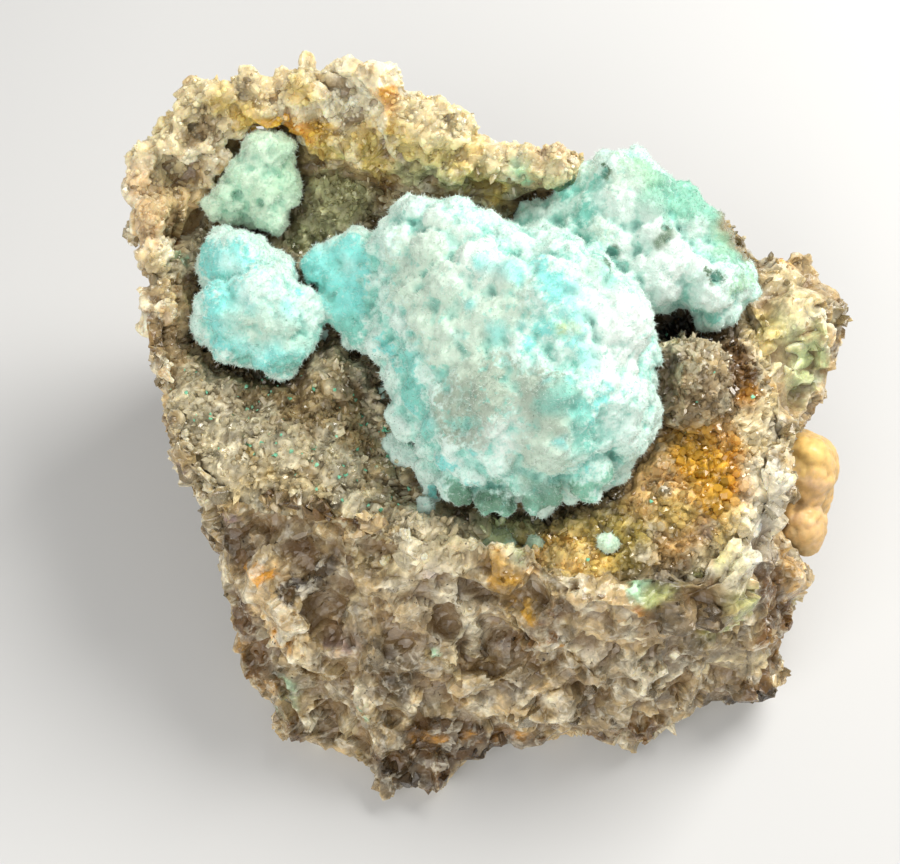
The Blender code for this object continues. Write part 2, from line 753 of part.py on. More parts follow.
def make_growth(name, form, collection, rng):
    """One rounded growth, from its girdle, crown and root, with knobs all over."""
    obj, bearing, turn = globe(name, GROWTH_ACROSS, GROWTH_DOWN, collection)
    cx, cy, cz = form["centre"]
    reach, rest = Outline(form["girdle"], form["centre"]).at(bearing)
    share = np.sin(turn) ** 0.85
    x = cx + reach * share * np.cos(bearing)
    y = cy + reach * share * np.sin(bearing)
    girdle_z = cz + (rest[:, 0] - cz) * share
    z = girdle_z + np.where(turn < math.pi / 2, form["crown"], form["root"]) * np.cos(turn)
    for lump_x, lump_y, radius, rise in form["lumps"]:
        gap = np.hypot(x - lump_x, y - lump_y) / radius
        z = z + (turn < 1.5) * rise * np.clip(1 - gap * gap, 0, 1) ** 0.75
    points = np.stack([x, y, z], axis=1) * MM
    move_points(obj.data, points)
    size, height = form["knob"]
    points = points + normals_of(obj.data) * knobs(points, size, height, rng)[:, None]
    move_points(obj.data, points)
    return obj


def join_growths(growths, voxel, triangles):
    """Makes growths that run into each other one solid, named for the first."""
    first = growths[0]
    bm = bmesh.new()
    for growth in growths:
        bm.from_mesh(growth.data)
    bm.to_mesh(first.data)
    bm.free()
    for other in growths[1:]:
        bpy.data.objects.remove(other)
    reskin(first, voxel, triangles)
    return first


def make_nodule(name, x, y, radius, stands, collection, rng):
    """A small rounded nodule sunk into the ground."""
    bm = bmesh.new()
    bmesh.ops.create_icosphere(bm, subdivisions=2, radius=radius * MM)
    for v in bm.verts:
        v.co *= rng.uniform(0.86, 1.1)
    mesh = bpy.data.meshes.new(name)
    bm.to_mesh(mesh)
    bm.free()
    z = ground(np.array([x]), np.array([y]))[0] + stands
    move_points(mesh, points_of(mesh) + np.array((x, y, z)) * MM)
    obj = bpy.data.objects.new(name, mesh)
    collection.objects.link(obj)
    return obj


def make_brown_knobs(collection, rng):
    """Three iron-brown knobs grown together on the stone's right side."""
    made = []
    for i, (x, y, z, radius) in enumerate(BROWN_KNOBS):
        obj, _, _ = globe("brown_knobs" if i == 0 else f"brown_knob_{i}", 22, 12, collection)
        points = points_of(obj.data) * radius * MM
        points *= 1 + 0.06 * rng.normal(0, 1, (len(points), 1)).clip(-1, 1)
        move_points(obj.data, points + np.array((x, y, z)) * MM)
        made.append(obj)
    return join_growths(made, GROWTH_VOXEL, BROWN_TRIANGLES)


def centre_on_base(objects):
    """Moves every piece so that the origin is under the middle of the whole specimen's box."""
    corners = np.concatenate([points_of(o.data) for o in objects])
    middle = (corners.min(axis=0) + corners.max(axis=0)) / 2
    for obj in objects:
        move_points(obj.data, points_of(obj.data) - (middle[0], middle[1], 0))


def main():
    for obj in list(bpy.data.objects):
        bpy.data.objects.remove(obj)
    scene = bpy.context.scene.collection
    parts = bpy.data.collections.new("aurichalcite_specimen")
    tools = bpy.data.collections.new("cutters")
    scene.children.link(parts)
    scene.children.link(tools)
    rng = np.random.default_rng(SEED)

    stone = make_stone(parts, tools, rng)
    crust = make_crust(parts, tools, stone, rng)
    mass = [
        make_growth("aurichalcite_mass", BALL, parts, rng),
        make_growth("bridge", BRIDGE, parts, rng),
        make_growth("drape", DRAPE, parts, rng),
    ]
    left = make_growth("aurichalcite_left", LEFT, parts, rng)
    green = make_growth("aurichalcite_green", GREEN, parts, rng)
    growths = [
        join_growths(mass, GROWTH_VOXEL, MASS_TRIANGLES),
        join_growths([left], GROWTH_VOXEL, LEFT_TRIANGLES),
        join_growths([green], GROWTH_VOXEL, GREEN_TRIANGLES),
    ]
    for number, growth in enumerate(growths[1:]):
        for neighbour in growths[: number + 1]:
            boolean(growth, seat_tool(neighbour, 1.0, GROWTH_GAP, tools), "DIFFERENCE")
            apply_modifiers(growth)
            keep_largest(growth)
    growths += [make_nodule(*nodule, parts, rng) for nodule in NODULES]
    knobs_on_side = make_brown_knobs(parts, rng)

    for growth in [*growths, knobs_on_side]:
        small = len(growth.data.polygons) <= SMALL
        seat = seat_tool(growth, 1.0, GROWTH_GAP, tools) if small else seat_tool(
            growth, SEAT_DETAIL, SEAT_GAP, tools
        )
        last_trim = seat_tool(growth, 1.0, CLEARANCE, tools)
        for carrier in (stone, crust):
            for tool in (seat, last_trim):
                boolean(carrier, tool, "DIFFERENCE")
                apply_modifiers(carrier)
    saw_base(stone, tools)
    keep_largest(stone)
    clear(crust, stone, tools)

    quartz = material("vein quartz", (0.55, 0.47, 0.36), 0.5)
    druse = material("drusy quartz", (0.50, 0.45, 0.35), 0.25)
    blue = material("aurichalcite", (0.47, 0.80, 0.78), 0.7)
    green = material("green aurichalcite", (0.50, 0.74, 0.58), 0.7)
    brown = material("iron-brown botryoids", (0.66, 0.45, 0.20), 0.45)
    finish = {stone: quartz, crust: druse, growths[2]: green, knobs_on_side: brown}
    pieces = [stone, crust, *growths, knobs_on_side]
    for obj in pieces:
        obj.data.materials.clear()
        obj.data.materials.append(finish.get(obj, blue))
    centre_on_base(pieces)


main()
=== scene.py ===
"""Looks for the aurichalcite specimen: camera, light and floor, and a detailed piece over each
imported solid. Lengths are in millimetres, and pixels are the photograph's, which is 900 by 864."""

import math

import bmesh
import bpy
import numpy as np
from mathutils import Euler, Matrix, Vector
from mathutils.bvhtree import BVHTree


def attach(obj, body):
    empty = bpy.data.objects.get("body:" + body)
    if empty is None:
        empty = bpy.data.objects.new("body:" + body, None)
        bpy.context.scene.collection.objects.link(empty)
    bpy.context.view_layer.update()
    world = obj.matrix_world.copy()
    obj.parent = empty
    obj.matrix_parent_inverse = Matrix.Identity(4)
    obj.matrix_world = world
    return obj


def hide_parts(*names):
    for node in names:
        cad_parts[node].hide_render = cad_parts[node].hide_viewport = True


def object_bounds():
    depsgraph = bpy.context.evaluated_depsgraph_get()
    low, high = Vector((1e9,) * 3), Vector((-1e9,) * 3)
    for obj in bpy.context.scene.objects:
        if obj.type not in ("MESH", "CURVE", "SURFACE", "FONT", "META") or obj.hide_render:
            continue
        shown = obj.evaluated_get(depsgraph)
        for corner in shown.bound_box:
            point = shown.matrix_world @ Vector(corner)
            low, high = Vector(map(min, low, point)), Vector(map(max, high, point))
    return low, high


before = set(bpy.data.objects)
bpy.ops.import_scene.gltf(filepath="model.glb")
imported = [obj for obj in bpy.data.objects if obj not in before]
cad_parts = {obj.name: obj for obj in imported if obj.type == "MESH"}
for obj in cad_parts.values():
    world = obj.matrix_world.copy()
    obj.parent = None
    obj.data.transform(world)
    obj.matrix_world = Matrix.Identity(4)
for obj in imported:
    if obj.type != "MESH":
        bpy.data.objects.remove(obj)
cad_low, cad_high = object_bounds()

MM = 0.001
SEED = 11
box_low, box_high = np.array(cad_low) / MM, np.array(cad_high) / MM
box_middle, box_half = (box_low + box_high) / 2, (box_high - box_low) / 2

# ---------------------------------------------------------------- camera, light and floor
WIDTH, HEIGHT = 900, 864
LENS, SENSOR = 55.0, 36.0
CAMERA_AT = (-4.98, -66.33, 162.82)
CAMERA_TILT = 26.0  # degrees off straight down, towards +Y
CLIP_NEAR, CLIP_FAR = 0.001, 10.0  # metres

WORLD_COLOUR = (1.0, 0.99, 0.97)
WORLD_STRENGTH = 0.36
KEY_AT, KEY_SIZE, KEY_POWER = (150.0, 130.0, 250.0), 170.0, 1.15
FILL_AT, FILL_SIZE, FILL_POWER = (-120.0, -230.0, 210.0), 300.0, 0.80
LIGHT_COLOUR = (1.0, 0.965, 0.91)
LIGHTS_AIM = (0, 0, 25)
FLOOR_SIZE = 4000.0
FLOOR_COLOUR = (0.60, 0.61, 0.62)
FLOOR_ROUGHNESS = 0.9

# ---------------------------------------------------------------- colours, linear
CREAM = (0.71, 0.60, 0.36)
WHITE = (0.82, 0.74, 0.54)
YELLOW = (0.74, 0.52, 0.13)
ORANGE = (0.74, 0.36, 0.05)
RUST = (0.34, 0.15, 0.03)
PEACH = (0.62, 0.42, 0.23)
BROWN = (0.16, 0.085, 0.028)
UMBER_AND_SHADE = (0.05, 0.032, 0.014)
DUSK_AND_SHADE = (0.13, 0.095, 0.048)
PAINTED_HOLE_SHADE = (0.012, 0.012, 0.008)
OLIVE = (0.44, 0.34, 0.10)
DRAB = (0.37, 0.28, 0.14)
SMOKE = (0.33, 0.25, 0.14)
MOSS_PAINTED_LIGHT = (0.54, 0.53, 0.30)
HONEY = (0.70, 0.53, 0.18)
SAND = (0.60, 0.45, 0.24)
TAN = (0.66, 0.43, 0.17)
OCHRE = (0.64, 0.36, 0.035)
PURPLE = (0.34, 0.25, 0.30)
PALE_GREEN = (0.56, 0.64, 0.34)
LIME = (0.56, 0.60, 0.25)
MINT = (0.42, 0.70, 0.47)
PAINTED_GREEN_SHADE = (0.08, 0.16, 0.08)
SNOW = (0.80, 0.91, 0.86)
PALE_BLUE = (0.66, 0.86, 0.79)
NEEDLE_TIP = (0.86, 0.95, 0.92)
CYAN = (0.26, 0.74, 0.70)
TURQUOISE = (0.24, 0.62, 0.53)
TEAL = (0.25, 0.57, 0.43)
PAINTED_TEAL_SHADE = (0.12, 0.22, 0.14)
ASH = (0.60, 0.75, 0.64)
BEIGE_AND_SHADE = (0.38, 0.47, 0.38)
PALE_MINT = (0.66, 0.83, 0.66)
FROST = (0.61, 0.55, 0.38)
GLASSY = (0.22, 0.18, 0.12)
MILKY = (0.70, 0.65, 0.52)
PEARL = (0.93, 0.87, 0.70)
SEA_GREEN = (0.33, 0.63, 0.47)
BOTTLE_GREEN = (0.05, 0.36, 0.20)
LEAF_GREEN = (0.20, 0.62, 0.40)

# Stains and patches, as colour, reach in mm, strength and the photo's pixels they lie at. Some rows
# are painted shade and some painted light, as marked.
STAINS = (
    # the rim, from its left end round the back
    (CREAM, 3.2, 0.9, (140, 160), (165, 125), (195, 100), (235, 95), (262, 78), (300, 75),
     (330, 68)),
    (WHITE, 2.6, 0.8, (150, 175), (175, 165), (306, 104), (350, 95), (352, 118), (372, 108),
     (345, 72)),
    (YELLOW, 1.8, 0.8, (222, 99), (248, 118), (286, 73), (298, 92), (421, 137), (398, 130),
     (470, 146)),
    (ORANGE, 1.3, 0.9, (304, 129), (314, 140), (290, 128), (387, 97), (393, 101), (543, 143),
     (579, 143)),
    (OCHRE, 1.5, 0.8, (273, 129), (262, 135), (250, 127), (322, 132)),
    (SMOKE, 1.2, 0.85, (204, 114), (209, 137), (189, 137), (206, 126), (246, 90)),
    (CREAM, 2.8, 0.8, (416, 111), (440, 122), (462, 128), (500, 140), (520, 150), (486, 165),
     (430, 148)),
    (PEACH, 2.4, 0.6, (140, 183), (146, 210), (150, 240), (560, 148), (600, 140)),
    (CREAM, 1.6, 0.8, (150, 262), (160, 285), (172, 172), (186, 182)),
    (SAND, 2.2, 0.8, (176, 206), (186, 214), (180, 300), (172, 330), (176, 360)),
    (BROWN, 1.3, 0.7, (169, 234), (178, 246), (192, 175), (184, 287), (196, 262)),
    (MINT, 1.2, 0.6, (345, 156), (526, 181), (522, 170), (467, 198), (480, 210), (179, 262)),
    # the wall and floor of the pocket behind the ball. The honey row and the moss rows here are
    # partly painted light: lighter than the rock's own colour, against the shadow of the wall and
    # the ball.
    (HONEY, 2.4, 0.85, (365, 142), (378, 167), (442, 162), (436, 183), (330, 150), (493, 186),
     (470, 178), (410, 160)),
    (BROWN, 1.4, 0.7, (378, 198), (368, 218), (386, 185)),
    (MOSS_PAINTED_LIGHT, 3.0, 0.8, (300, 200), (320, 215), (300, 235), (345, 200), (280, 210), (450, 205)),
    (MOSS_PAINTED_LIGHT, 2.2, 0.8, (440, 175), (455, 180), (425, 172), (470, 190), (410, 178)),
    (PALE_GREEN, 1.0, 0.6, (329, 188), (324, 224), (350, 185), (300, 180), (289, 244)),
    # painted shade: the dark green shadow in the pocket above the ball
    (PAINTED_GREEN_SHADE, 1.6, 0.8, (551, 201), (513, 219), (500, 226), (535, 212), (565, 183)),
    (UMBER_AND_SHADE, 1.5, 0.9, (232, 216), (245, 228), (263, 239), (275, 245), (296, 270), (314, 290)),
    # left of the ball; the two dusk rows are painted shade under the left lobes and along the
    # ball's foot
    (DUSK_AND_SHADE, 1.6, 0.8, (234, 363), (262, 371), (288, 386), (300, 378), (325, 345), (354, 389),
     (380, 394)),
    (DUSK_AND_SHADE, 1.4, 0.85, (395, 419), (408, 450), (420, 478), (454, 498), (470, 508), (520, 510),
     (560, 512)),
    (DRAB, 2.6, 0.7, (303, 406), (280, 395), (330, 400), (345, 420), (250, 400), (310, 425),
     (300, 430)),
    (FROST, 2.6, 0.75, (186, 401), (200, 420), (226, 447), (215, 470), (240, 425), (293, 450),
     (275, 470)),
    (WHITE, 1.3, 0.75, (221, 414), (238, 452), (196, 436), (232, 475), (320, 470), (345, 478),
     (364, 372)),
    (CREAM, 1.8, 0.7, (303, 493), (320, 500), (290, 483), (258, 476), (238, 492)),
    (YELLOW, 0.9, 0.6, (272, 460), (268, 472), (382, 480), (254, 455)),
    (DRAB, 2.2, 0.6, (362, 452), (372, 486), (400, 490), (395, 515), (440, 520), (350, 440)),
    (WHITE, 1.5, 0.95, (412, 526), (418, 520), (424, 534), (408, 536)),
    (BROWN, 1.0, 0.95, (258, 492), (272, 493), (293, 506), (308, 511), (323, 514), (336, 517),
     (349, 519), (362, 524)),
    # below the ball
    (PALE_GREEN, 1.5, 0.85, (492, 534), (502, 524), (497, 545), (530, 524), (512, 552)),
    (MINT, 0.9, 0.9, (432, 492), (610, 533), (528, 518), (436, 486)),
    (CREAM, 2.0, 0.9, (545, 549), (560, 552), (575, 556), (590, 560)),
    (OLIVE, 2.4, 0.8, (560, 530), (600, 540), (585, 525), (630, 520), (640, 545), (620, 556)),
    (WHITE, 0.9, 0.9, (655, 535), (645, 553), (470, 532)),
    (CREAM, 2.0, 0.8, (403, 554), (390, 560), (430, 545), (455, 545), (480, 558)),
    (ORANGE, 0.8, 0.6, (412, 563), (455, 552), (470, 560)),
    (PURPLE, 0.9, 0.85, (443, 560), (434, 564), (425, 572), (710, 533), (700, 527), (181, 473)),
    # right of the ball: the deep hole, painted black as painted shade, the smoky nodule and the
    # golden crystals
    (PAINTED_HOLE_SHADE, 2.8, 0.98, (674, 324), (664, 309), (684, 332), (700, 338), (662, 330), (655, 318),
     (690, 328)),
    (PAINTED_HOLE_SHADE, 2.2, 0.98, (680, 330), (676, 336), (668, 338), (690, 340), (680, 322)),
    (PAINTED_HOLE_SHADE, 1.6, 0.9, (716, 342), (728, 348), (672, 340), (664, 350), (665, 365)),
    (BROWN, 2.2, 0.9, (710, 339), (733, 354), (740, 372), (736, 390), (724, 345), (690, 352)),
    (SMOKE, 3.4, 0.9, (694, 385), (686, 398), (704, 396), (680, 412)),
    (BROWN, 1.6, 0.8, (735, 410), (722, 418), (672, 432), (690, 428)),
    (OCHRE, 3.0, 0.9, (699, 446), (715, 455), (725, 470), (700, 480), (730, 495), (712, 500),
     (690, 462)),
    (ORANGE, 1.4, 0.8, (725, 436), (738, 462), (742, 488), (668, 486), (735, 478), (750, 392),
     (743, 402)),
    (TAN, 2.2, 0.8, (650, 480), (640, 500), (660, 505), (680, 500), (655, 462), (720, 430),
     (645, 470)),
    (CREAM, 1.2, 0.7, (662, 472), (676, 452), (662, 490), (690, 440)),
    (RUST, 1.2, 0.7, (690, 535), (672, 545), (700, 545), (684, 558), (668, 527)),
    # the ledge at the right
    (OLIVE, 1.8, 0.7, (755, 298), (761, 324), (742, 310), (748, 330)),
    (CREAM, 3.0, 0.8, (790, 285), (817, 283), (800, 300), (755, 360), (770, 345), (762, 372)),
    (ORANGE, 1.3, 0.6, (845, 275), (770, 385), (782, 262), (836, 266)),
    (PALE_GREEN, 2.4, 0.45, (786, 334), (801, 355), (832, 324), (820, 340), (801, 380), (812, 366),
     (790, 395)),
    (HONEY, 1.6, 0.4, (768, 330), (775, 345), (765, 318)),
    (SMOKE, 1.0, 0.8, (789, 421), (785, 428), (847, 334), (795, 425)),
    (WHITE, 2.6, 0.95, (768, 430), (770, 460), (762, 490), (776, 505), (758, 520), (765, 545),
     (750, 545)),
    (CREAM, 1.6, 0.8, (757, 450), (752, 475), (760, 505), (750, 530), (765, 480)),
    (YELLOW, 2.0, 0.5, (808, 440), (816, 452), (806, 462)),
    (BROWN, 1.4, 0.6, (786, 556), (790, 574), (780, 540), (796, 505), (784, 525), (790, 490)),
    (CREAM, 1.9, 0.8, (760, 410), (775, 400), (745, 420), (788, 445)),
    # the broken front face
    (WHITE, 1.6, 0.6, (560, 700), (545, 705), (528, 698), (620, 660), (640, 675), (655, 700),
     (590, 655)),
    (SMOKE, 1.6, 0.7, (575, 680), (560, 672), (600, 700), (530, 672), (512, 690), (640, 700),
     (610, 685)),
    (BROWN, 2.2, 0.4, (260, 540), (248, 552), (272, 532), (300, 552), (285, 545), (240, 560)),
    (SAND, 2.6, 0.6, (330, 620), (345, 640), (400, 610), (430, 612), (385, 650), (370, 620)),
    (DRAB, 2.2, 0.8, (710, 610), (700, 625), (690, 590), (725, 605), (695, 640)),
    (BROWN, 1.4, 0.6, (700, 600), (715, 618), (705, 632), (690, 612), (660, 620), (730, 592)),
    (RUST, 2.0, 0.6, (450, 745), (470, 742), (440, 752), (430, 745), (500, 742)),
    (BROWN, 1.8, 0.6, (450, 750), (465, 740), (435, 738), (480, 748)),
    (WHITE, 1.8, 0.7, (440, 600), (460, 590), (420, 605), (400, 590), (475, 640), (490, 700),
     (500, 720)),
    (SMOKE, 2.4, 0.85, (420, 625), (440, 640), (450, 622), (405, 640), (520, 660), (540, 655),
     (585, 690), (350, 595)),
    (SMOKE, 1.8, 0.6, (480, 590), (500, 600), (330, 560), (320, 580), (340, 615), (530, 600),
     (560, 610)),
    (OCHRE, 1.2, 0.85, (500, 575), (507, 588), (516, 603), (526, 616), (496, 562), (600, 577)),
    (ORANGE, 0.7, 0.9, (440, 690), (452, 682), (464, 672), (474, 665), (484, 658)),
    (ORANGE, 0.8, 0.85, (520, 645), (540, 642), (560, 643), (580, 645), (598, 650), (622, 624),
     (632, 616), (645, 610)),
    (RUST, 0.9, 0.8, (655, 606), (670, 603), (640, 612), (555, 640), (530, 638), (510, 640)),
    (UMBER_AND_SHADE, 1.2, 0.9, (490, 652), (500, 645), (482, 660), (505, 640), (560, 615)),
    (UMBER_AND_SHADE, 1.5, 0.9, (430, 722), (445, 728), (460, 730), (475, 732), (420, 735), (490, 738)),
    (ORANGE, 1.0, 0.7, (415, 738), (432, 745), (498, 735), (520, 735), (405, 760), (425, 790)),
    (UMBER_AND_SHADE, 1.8, 0.9, (435, 765), (445, 772), (425, 760), (290, 590), (450, 755)),
    (BROWN, 2.2, 0.7, (560, 742), (600, 738), (630, 735), (540, 745), (660, 730), (650, 745)),
    (DUSK_AND_SHADE, 2.4, 0.9, (405, 665), (392, 690), (400, 680), (676, 604), (676, 630), (655, 596),
     (672, 618)),
    (DUSK_AND_SHADE, 2.2, 0.6, (375, 668), (668, 655), (690, 645), (650, 576), (672, 566), (440, 752),
     (450, 728)),
    (DRAB, 2.6, 0.7, (320, 670), (345, 668), (378, 722), (386, 710), (315, 695), (300, 690)),
    (WHITE, 2.2, 0.6, (645, 668), (645, 690), (600, 650), (670, 695), (465, 605), (466, 632),
     (655, 680)),
    (CREAM, 1.9, 0.7, (466, 660), (460, 668)),
    (BROWN, 1.9, 0.5, (530, 635), (520, 640), (545, 630), (556, 611)),
    (MINT, 1.2, 0.55, (637, 585), (644, 590), (630, 592), (285, 680), (290, 692), (286, 704),
     (276, 712)),
    (LIME, 1.0, 0.75, (660, 590), (672, 584), (684, 578), (650, 595), (694, 570)),
    (UMBER_AND_SHADE, 0.7, 0.8, (668, 578), (680, 572), (655, 583), (690, 600), (676, 600), (706, 612)),
    (MINT, 0.7, 0.95, (433, 657), (365, 705), (362, 712)),
    (PURPLE, 1.6, 0.5, (345, 645), (330, 640), (230, 520), (195, 520), (560, 745)),
    (ORANGE, 1.1, 0.8, (247, 560), (250, 568), (258, 576), (270, 572), (276, 628), (285, 642)),
    (SMOKE, 1.7, 0.7, (260, 539), (300, 540), (329, 539), (240, 530), (705, 592), (725, 600),
     (690, 615)),
    # painted shadow on the front's left part
    (UMBER_AND_SHADE, 1.5, 0.8, (221, 534), (232, 540), (244, 545), (300, 548), (329, 565), (316, 572),
     (310, 590)),
    (UMBER_AND_SHADE, 0.9, 0.8, (366, 640), (380, 645), (392, 655), (318, 607), (338, 556), (324, 560)),
    (CREAM, 1.8, 0.5, (352, 725), (345, 735), (300, 655), (308, 610), (360, 600), (272, 545),
     (355, 560)),
    (LIME, 2.2, 0.6, (745, 600), (752, 612), (740, 618), (720, 625), (735, 560)),
    (WHITE, 1.7, 0.7, (752, 570), (745, 580), (715, 660), (725, 650), (735, 575)),
    # brown outer rock at the right and the foot
    (BROWN, 3.0, 0.8, (775, 590), (782, 610), (778, 630), (772, 575), (768, 640)),
    (TAN, 2.2, 0.7, (795, 590), (800, 620), (790, 560), (785, 650), (770, 670), (760, 655)),
    # painted shadow at the bottom right corner
    (UMBER_AND_SHADE, 2.2, 0.9, (745, 705), (755, 703), (735, 700), (765, 700), (720, 705)),
    (BROWN, 2.4, 0.8, (250, 640), (256, 660), (262, 680), (245, 620), (262, 710), (290, 735),
     (240, 600)),
    (TAN, 1.8, 0.6, (243, 640), (262, 690), (258, 705), (270, 728), (400, 780), (422, 798)),
    (BROWN, 2.4, 0.4, (152, 310), (156, 340), (160, 370), (165, 410), (168, 440), (175, 470),
     (150, 280)),
    (BROWN, 2.4, 0.6, (400, 780), (412, 788), (392, 770), (440, 785), (380, 760)),
    (BROWN, 3.0, 0.8, (785, 620), (790, 640), (775, 655), (765, 672), (750, 690), (700, 725),
     (730, 712)),
    (SMOKE, 2.6, 0.6, (560, 725), (600, 722), (640, 715), (520, 730), (680, 700), (720, 690),
     (735, 670)),
    # partly painted light: moss lighter than the rock's own colour, against the shadow of the wall
    # and the ball
    (MOSS_PAINTED_LIGHT, 2.6, 0.7, (325, 205), (335, 215), (310, 225), (318, 190), (350, 200)),
    (CREAM, 2.2, 0.75, (765, 663), (772, 653), (758, 670), (735, 663), (724, 668)),
    (SAND, 2.6, 0.5, (160, 200), (155, 215), (166, 188)),
    # the golden floor and the pale band at the right
    (HONEY, 1.8, 0.75, (675, 514), (668, 508), (684, 520), (735, 530), (738, 518), (730, 540)),
    (TAN, 1.6, 0.8, (675, 545), (664, 552), (684, 540), (525, 572)),
    (CREAM, 1.5, 0.7, (705, 549), (713, 546), (698, 553)),
    (PEARL, 2.3, 0.85, (768, 500), (760, 540), (770, 470), (766, 520), (772, 442), (755, 556)),
    (OLIVE, 1.6, 0.75, (525, 545), (519, 538), (615, 549), (622, 560)),
    (PALE_GREEN, 1.8, 0.9, (495, 524), (488, 530), (503, 532), (497, 540)),
    # the orange tuft and the pale shelf at the pocket's front edge
    (WHITE, 2.6, 0.95, (480, 545), (470, 538), (460, 548), (448, 543), (490, 552), (425, 552)),
    (CREAM, 2.4, 0.5, (455, 546), (470, 541), (440, 549), (482, 549)),
    (OCHRE, 1.6, 0.8, (495, 573), (500, 582), (492, 565)),
    (BROWN, 1.6, 0.45, (495, 578), (502, 588)),
    (YELLOW, 2.0, 0.9, (545, 552), (560, 555), (575, 555), (590, 560), (600, 556)),
    (ORANGE, 1.2, 0.9, (538, 552), (552, 547), (568, 548), (572, 562), (556, 566), (592, 554)),
    (CREAM, 1.1, 0.8, (562, 558), (546, 559), (582, 554), (530, 550)),
    (HONEY, 1.6, 0.5, (560, 553), (575, 556), (546, 552), (590, 558)),
    # the foot: dark patches of painted shade where the front falls away towards the floor, and
    # orange specks
    (BROWN, 2.4, 0.75, (440, 756), (430, 746), (454, 736), (466, 754)),
    (UMBER_AND_SHADE, 2.0, 0.9, (445, 752), (460, 745), (432, 748), (478, 752), (500, 745), (418, 742)),
    (ORANGE, 0.9, 0.8, (425, 738), (440, 741), (498, 738), (415, 745), (520, 738), (470, 738)),
    (UMBER_AND_SHADE, 2.2, 0.75, (398, 776), (410, 786), (422, 790), (388, 768), (405, 770)),
)
# Stains of the aurichalcite alone.
GROWTH_STAINS = (
    (SNOW, 3.6, 0.85, (623, 329), (615, 345), (600, 300), (628, 350), (470, 262), (440, 235),
     (500, 245)),
    (SNOW, 2.8, 0.6, (420, 232), (455, 300), (520, 400), (500, 440), (650, 380)),
    (ASH, 2.6, 0.8, (545, 445), (560, 470), (535, 465), (550, 430), (540, 480)),
    (ASH, 4.0, 0.75, (405, 275), (430, 290), (450, 320), (425, 250), (470, 330), (500, 303),
     (440, 340)),
    # partly painted shade: grey-green along the step where the upper mass overhangs the lower lumps
    (BEIGE_AND_SHADE, 3.2, 0.65, (440, 415), (465, 400), (490, 395), (520, 395), (480, 380), (545, 405),
     (555, 392)),
    (BEIGE_AND_SHADE, 2.0, 0.5, (525, 455), (470, 440), (560, 430)),
    (CYAN, 1.5, 0.75, (539, 258), (531, 250), (554, 288), (548, 275), (577, 293), (582, 314),
     (500, 262)),
    (CYAN, 1.3, 0.7, (495, 334), (531, 347), (567, 344), (590, 354), (560, 320), (545, 330),
     (580, 340)),
    (CYAN, 1.6, 0.8, (388, 350), (393, 365), (400, 380), (410, 395), (385, 340), (420, 420),
     (404, 362)),
    (CYAN, 1.2, 0.75, (448, 468), (440, 462), (432, 488), (470, 490), (590, 465), (575, 410),
     (602, 408)),
    (TURQUOISE, 1.7, 0.7, (549, 403), (567, 392), (580, 420), (587, 449), (510, 480), (540, 500),
     (600, 430)),
    (TEAL, 1.6, 0.75, (482, 508), (507, 508), (460, 492), (530, 505), (560, 500), (585, 490),
     (610, 478), (495, 495)),
    (TURQUOISE, 1.6, 0.7, (395, 365), (402, 380), (408, 395), (398, 350), (415, 410), (425, 440)),
    # painted shade along the ball's shadowed foot
    (PAINTED_TEAL_SHADE, 1.5, 0.65, (500, 499), (480, 500), (520, 503), (545, 500), (462, 494), (565, 498)),
    (CYAN, 0.9, 0.8, (431, 491), (470, 455), (405, 410), (395, 372), (480, 262), (515, 275),
     (470, 300)),
    (CYAN, 0.8, 0.8, (520, 330), (545, 372), (575, 375), (610, 385), (600, 425), (560, 445),
     (455, 335)),
    (SNOW, 2.6, 0.8, (650, 250), (640, 262), (663, 243), (655, 275), (630, 235)),
    (LIME, 1.1, 0.6, (569, 329), (566, 326)),
    (CYAN, 2.6, 0.75, (206, 262), (215, 275), (225, 300), (240, 262), (220, 330), (262, 360),
     (290, 345)),
    (SNOW, 1.6, 0.5, (285, 300), (245, 300), (228, 268), (305, 312), (250, 345)),
    (CYAN, 1.6, 0.65, (265, 325), (240, 345), (210, 335), (228, 322), (275, 345), (200, 250),
     (290, 325)),
    (CYAN, 1.0, 0.7, (250, 310), (285, 308), (300, 325), (212, 352), (300, 290), (262, 340)),
    (ASH, 1.8, 0.7, (265, 322), (285, 330), (258, 332), (300, 335), (240, 325)),
    (CYAN, 2.4, 0.75, (320, 270), (335, 260), (350, 250), (312, 262), (345, 290), (330, 285)),
    (SNOW, 1.2, 0.4, (300, 272), (322, 245), (345, 262)),
    (CYAN, 1.6, 0.6, (358, 250), (362, 270), (355, 300), (350, 318), (340, 305)),
    (TURQUOISE, 1.8, 0.7, (350, 325), (335, 315), (360, 335), (290, 368), (247, 363), (318, 330)),
    (TEAL, 2.8, 0.75, (659, 196), (689, 181), (674, 204), (710, 224), (650, 180), (700, 205),
     (735, 250)),
    (MINT, 1.8, 0.6, (628, 153), (640, 165), (650, 172), (750, 280), (740, 290), (724, 240)),
    (SNOW, 2.4, 0.85, (643, 222), (653, 252), (674, 263), (659, 293), (648, 300), (668, 285),
     (640, 240)),
    (SNOW, 1.7, 0.7, (710, 300), (692, 258), (700, 235), (684, 240), (620, 200), (628, 186),
     (604, 196)),
    (ASH, 1.6, 0.6, (618, 181), (625, 176), (595, 270), (602, 230), (575, 170)),
    (TURQUOISE, 1.5, 0.75, (699, 319), (712, 320), (592, 186), (564, 189), (582, 214), (595, 250),
     (610, 275)),
    # painted shade in the ball's pits
    (PAINTED_GREEN_SHADE, 0.9, 0.9, (613, 255), (611, 262), (666, 232), (663, 238), (717, 280), (714, 274),
     (602, 171)),
    (BROWN, 1.3, 0.7, (710, 191), (718, 200), (722, 212), (705, 183)),
    (SMOKE, 1.6, 0.9, (730, 219), (740, 237), (735, 228), (748, 246)),
    (PALE_GREEN, 1.5, 0.8, (495, 520), (489, 528), (503, 528), (497, 536)),
)
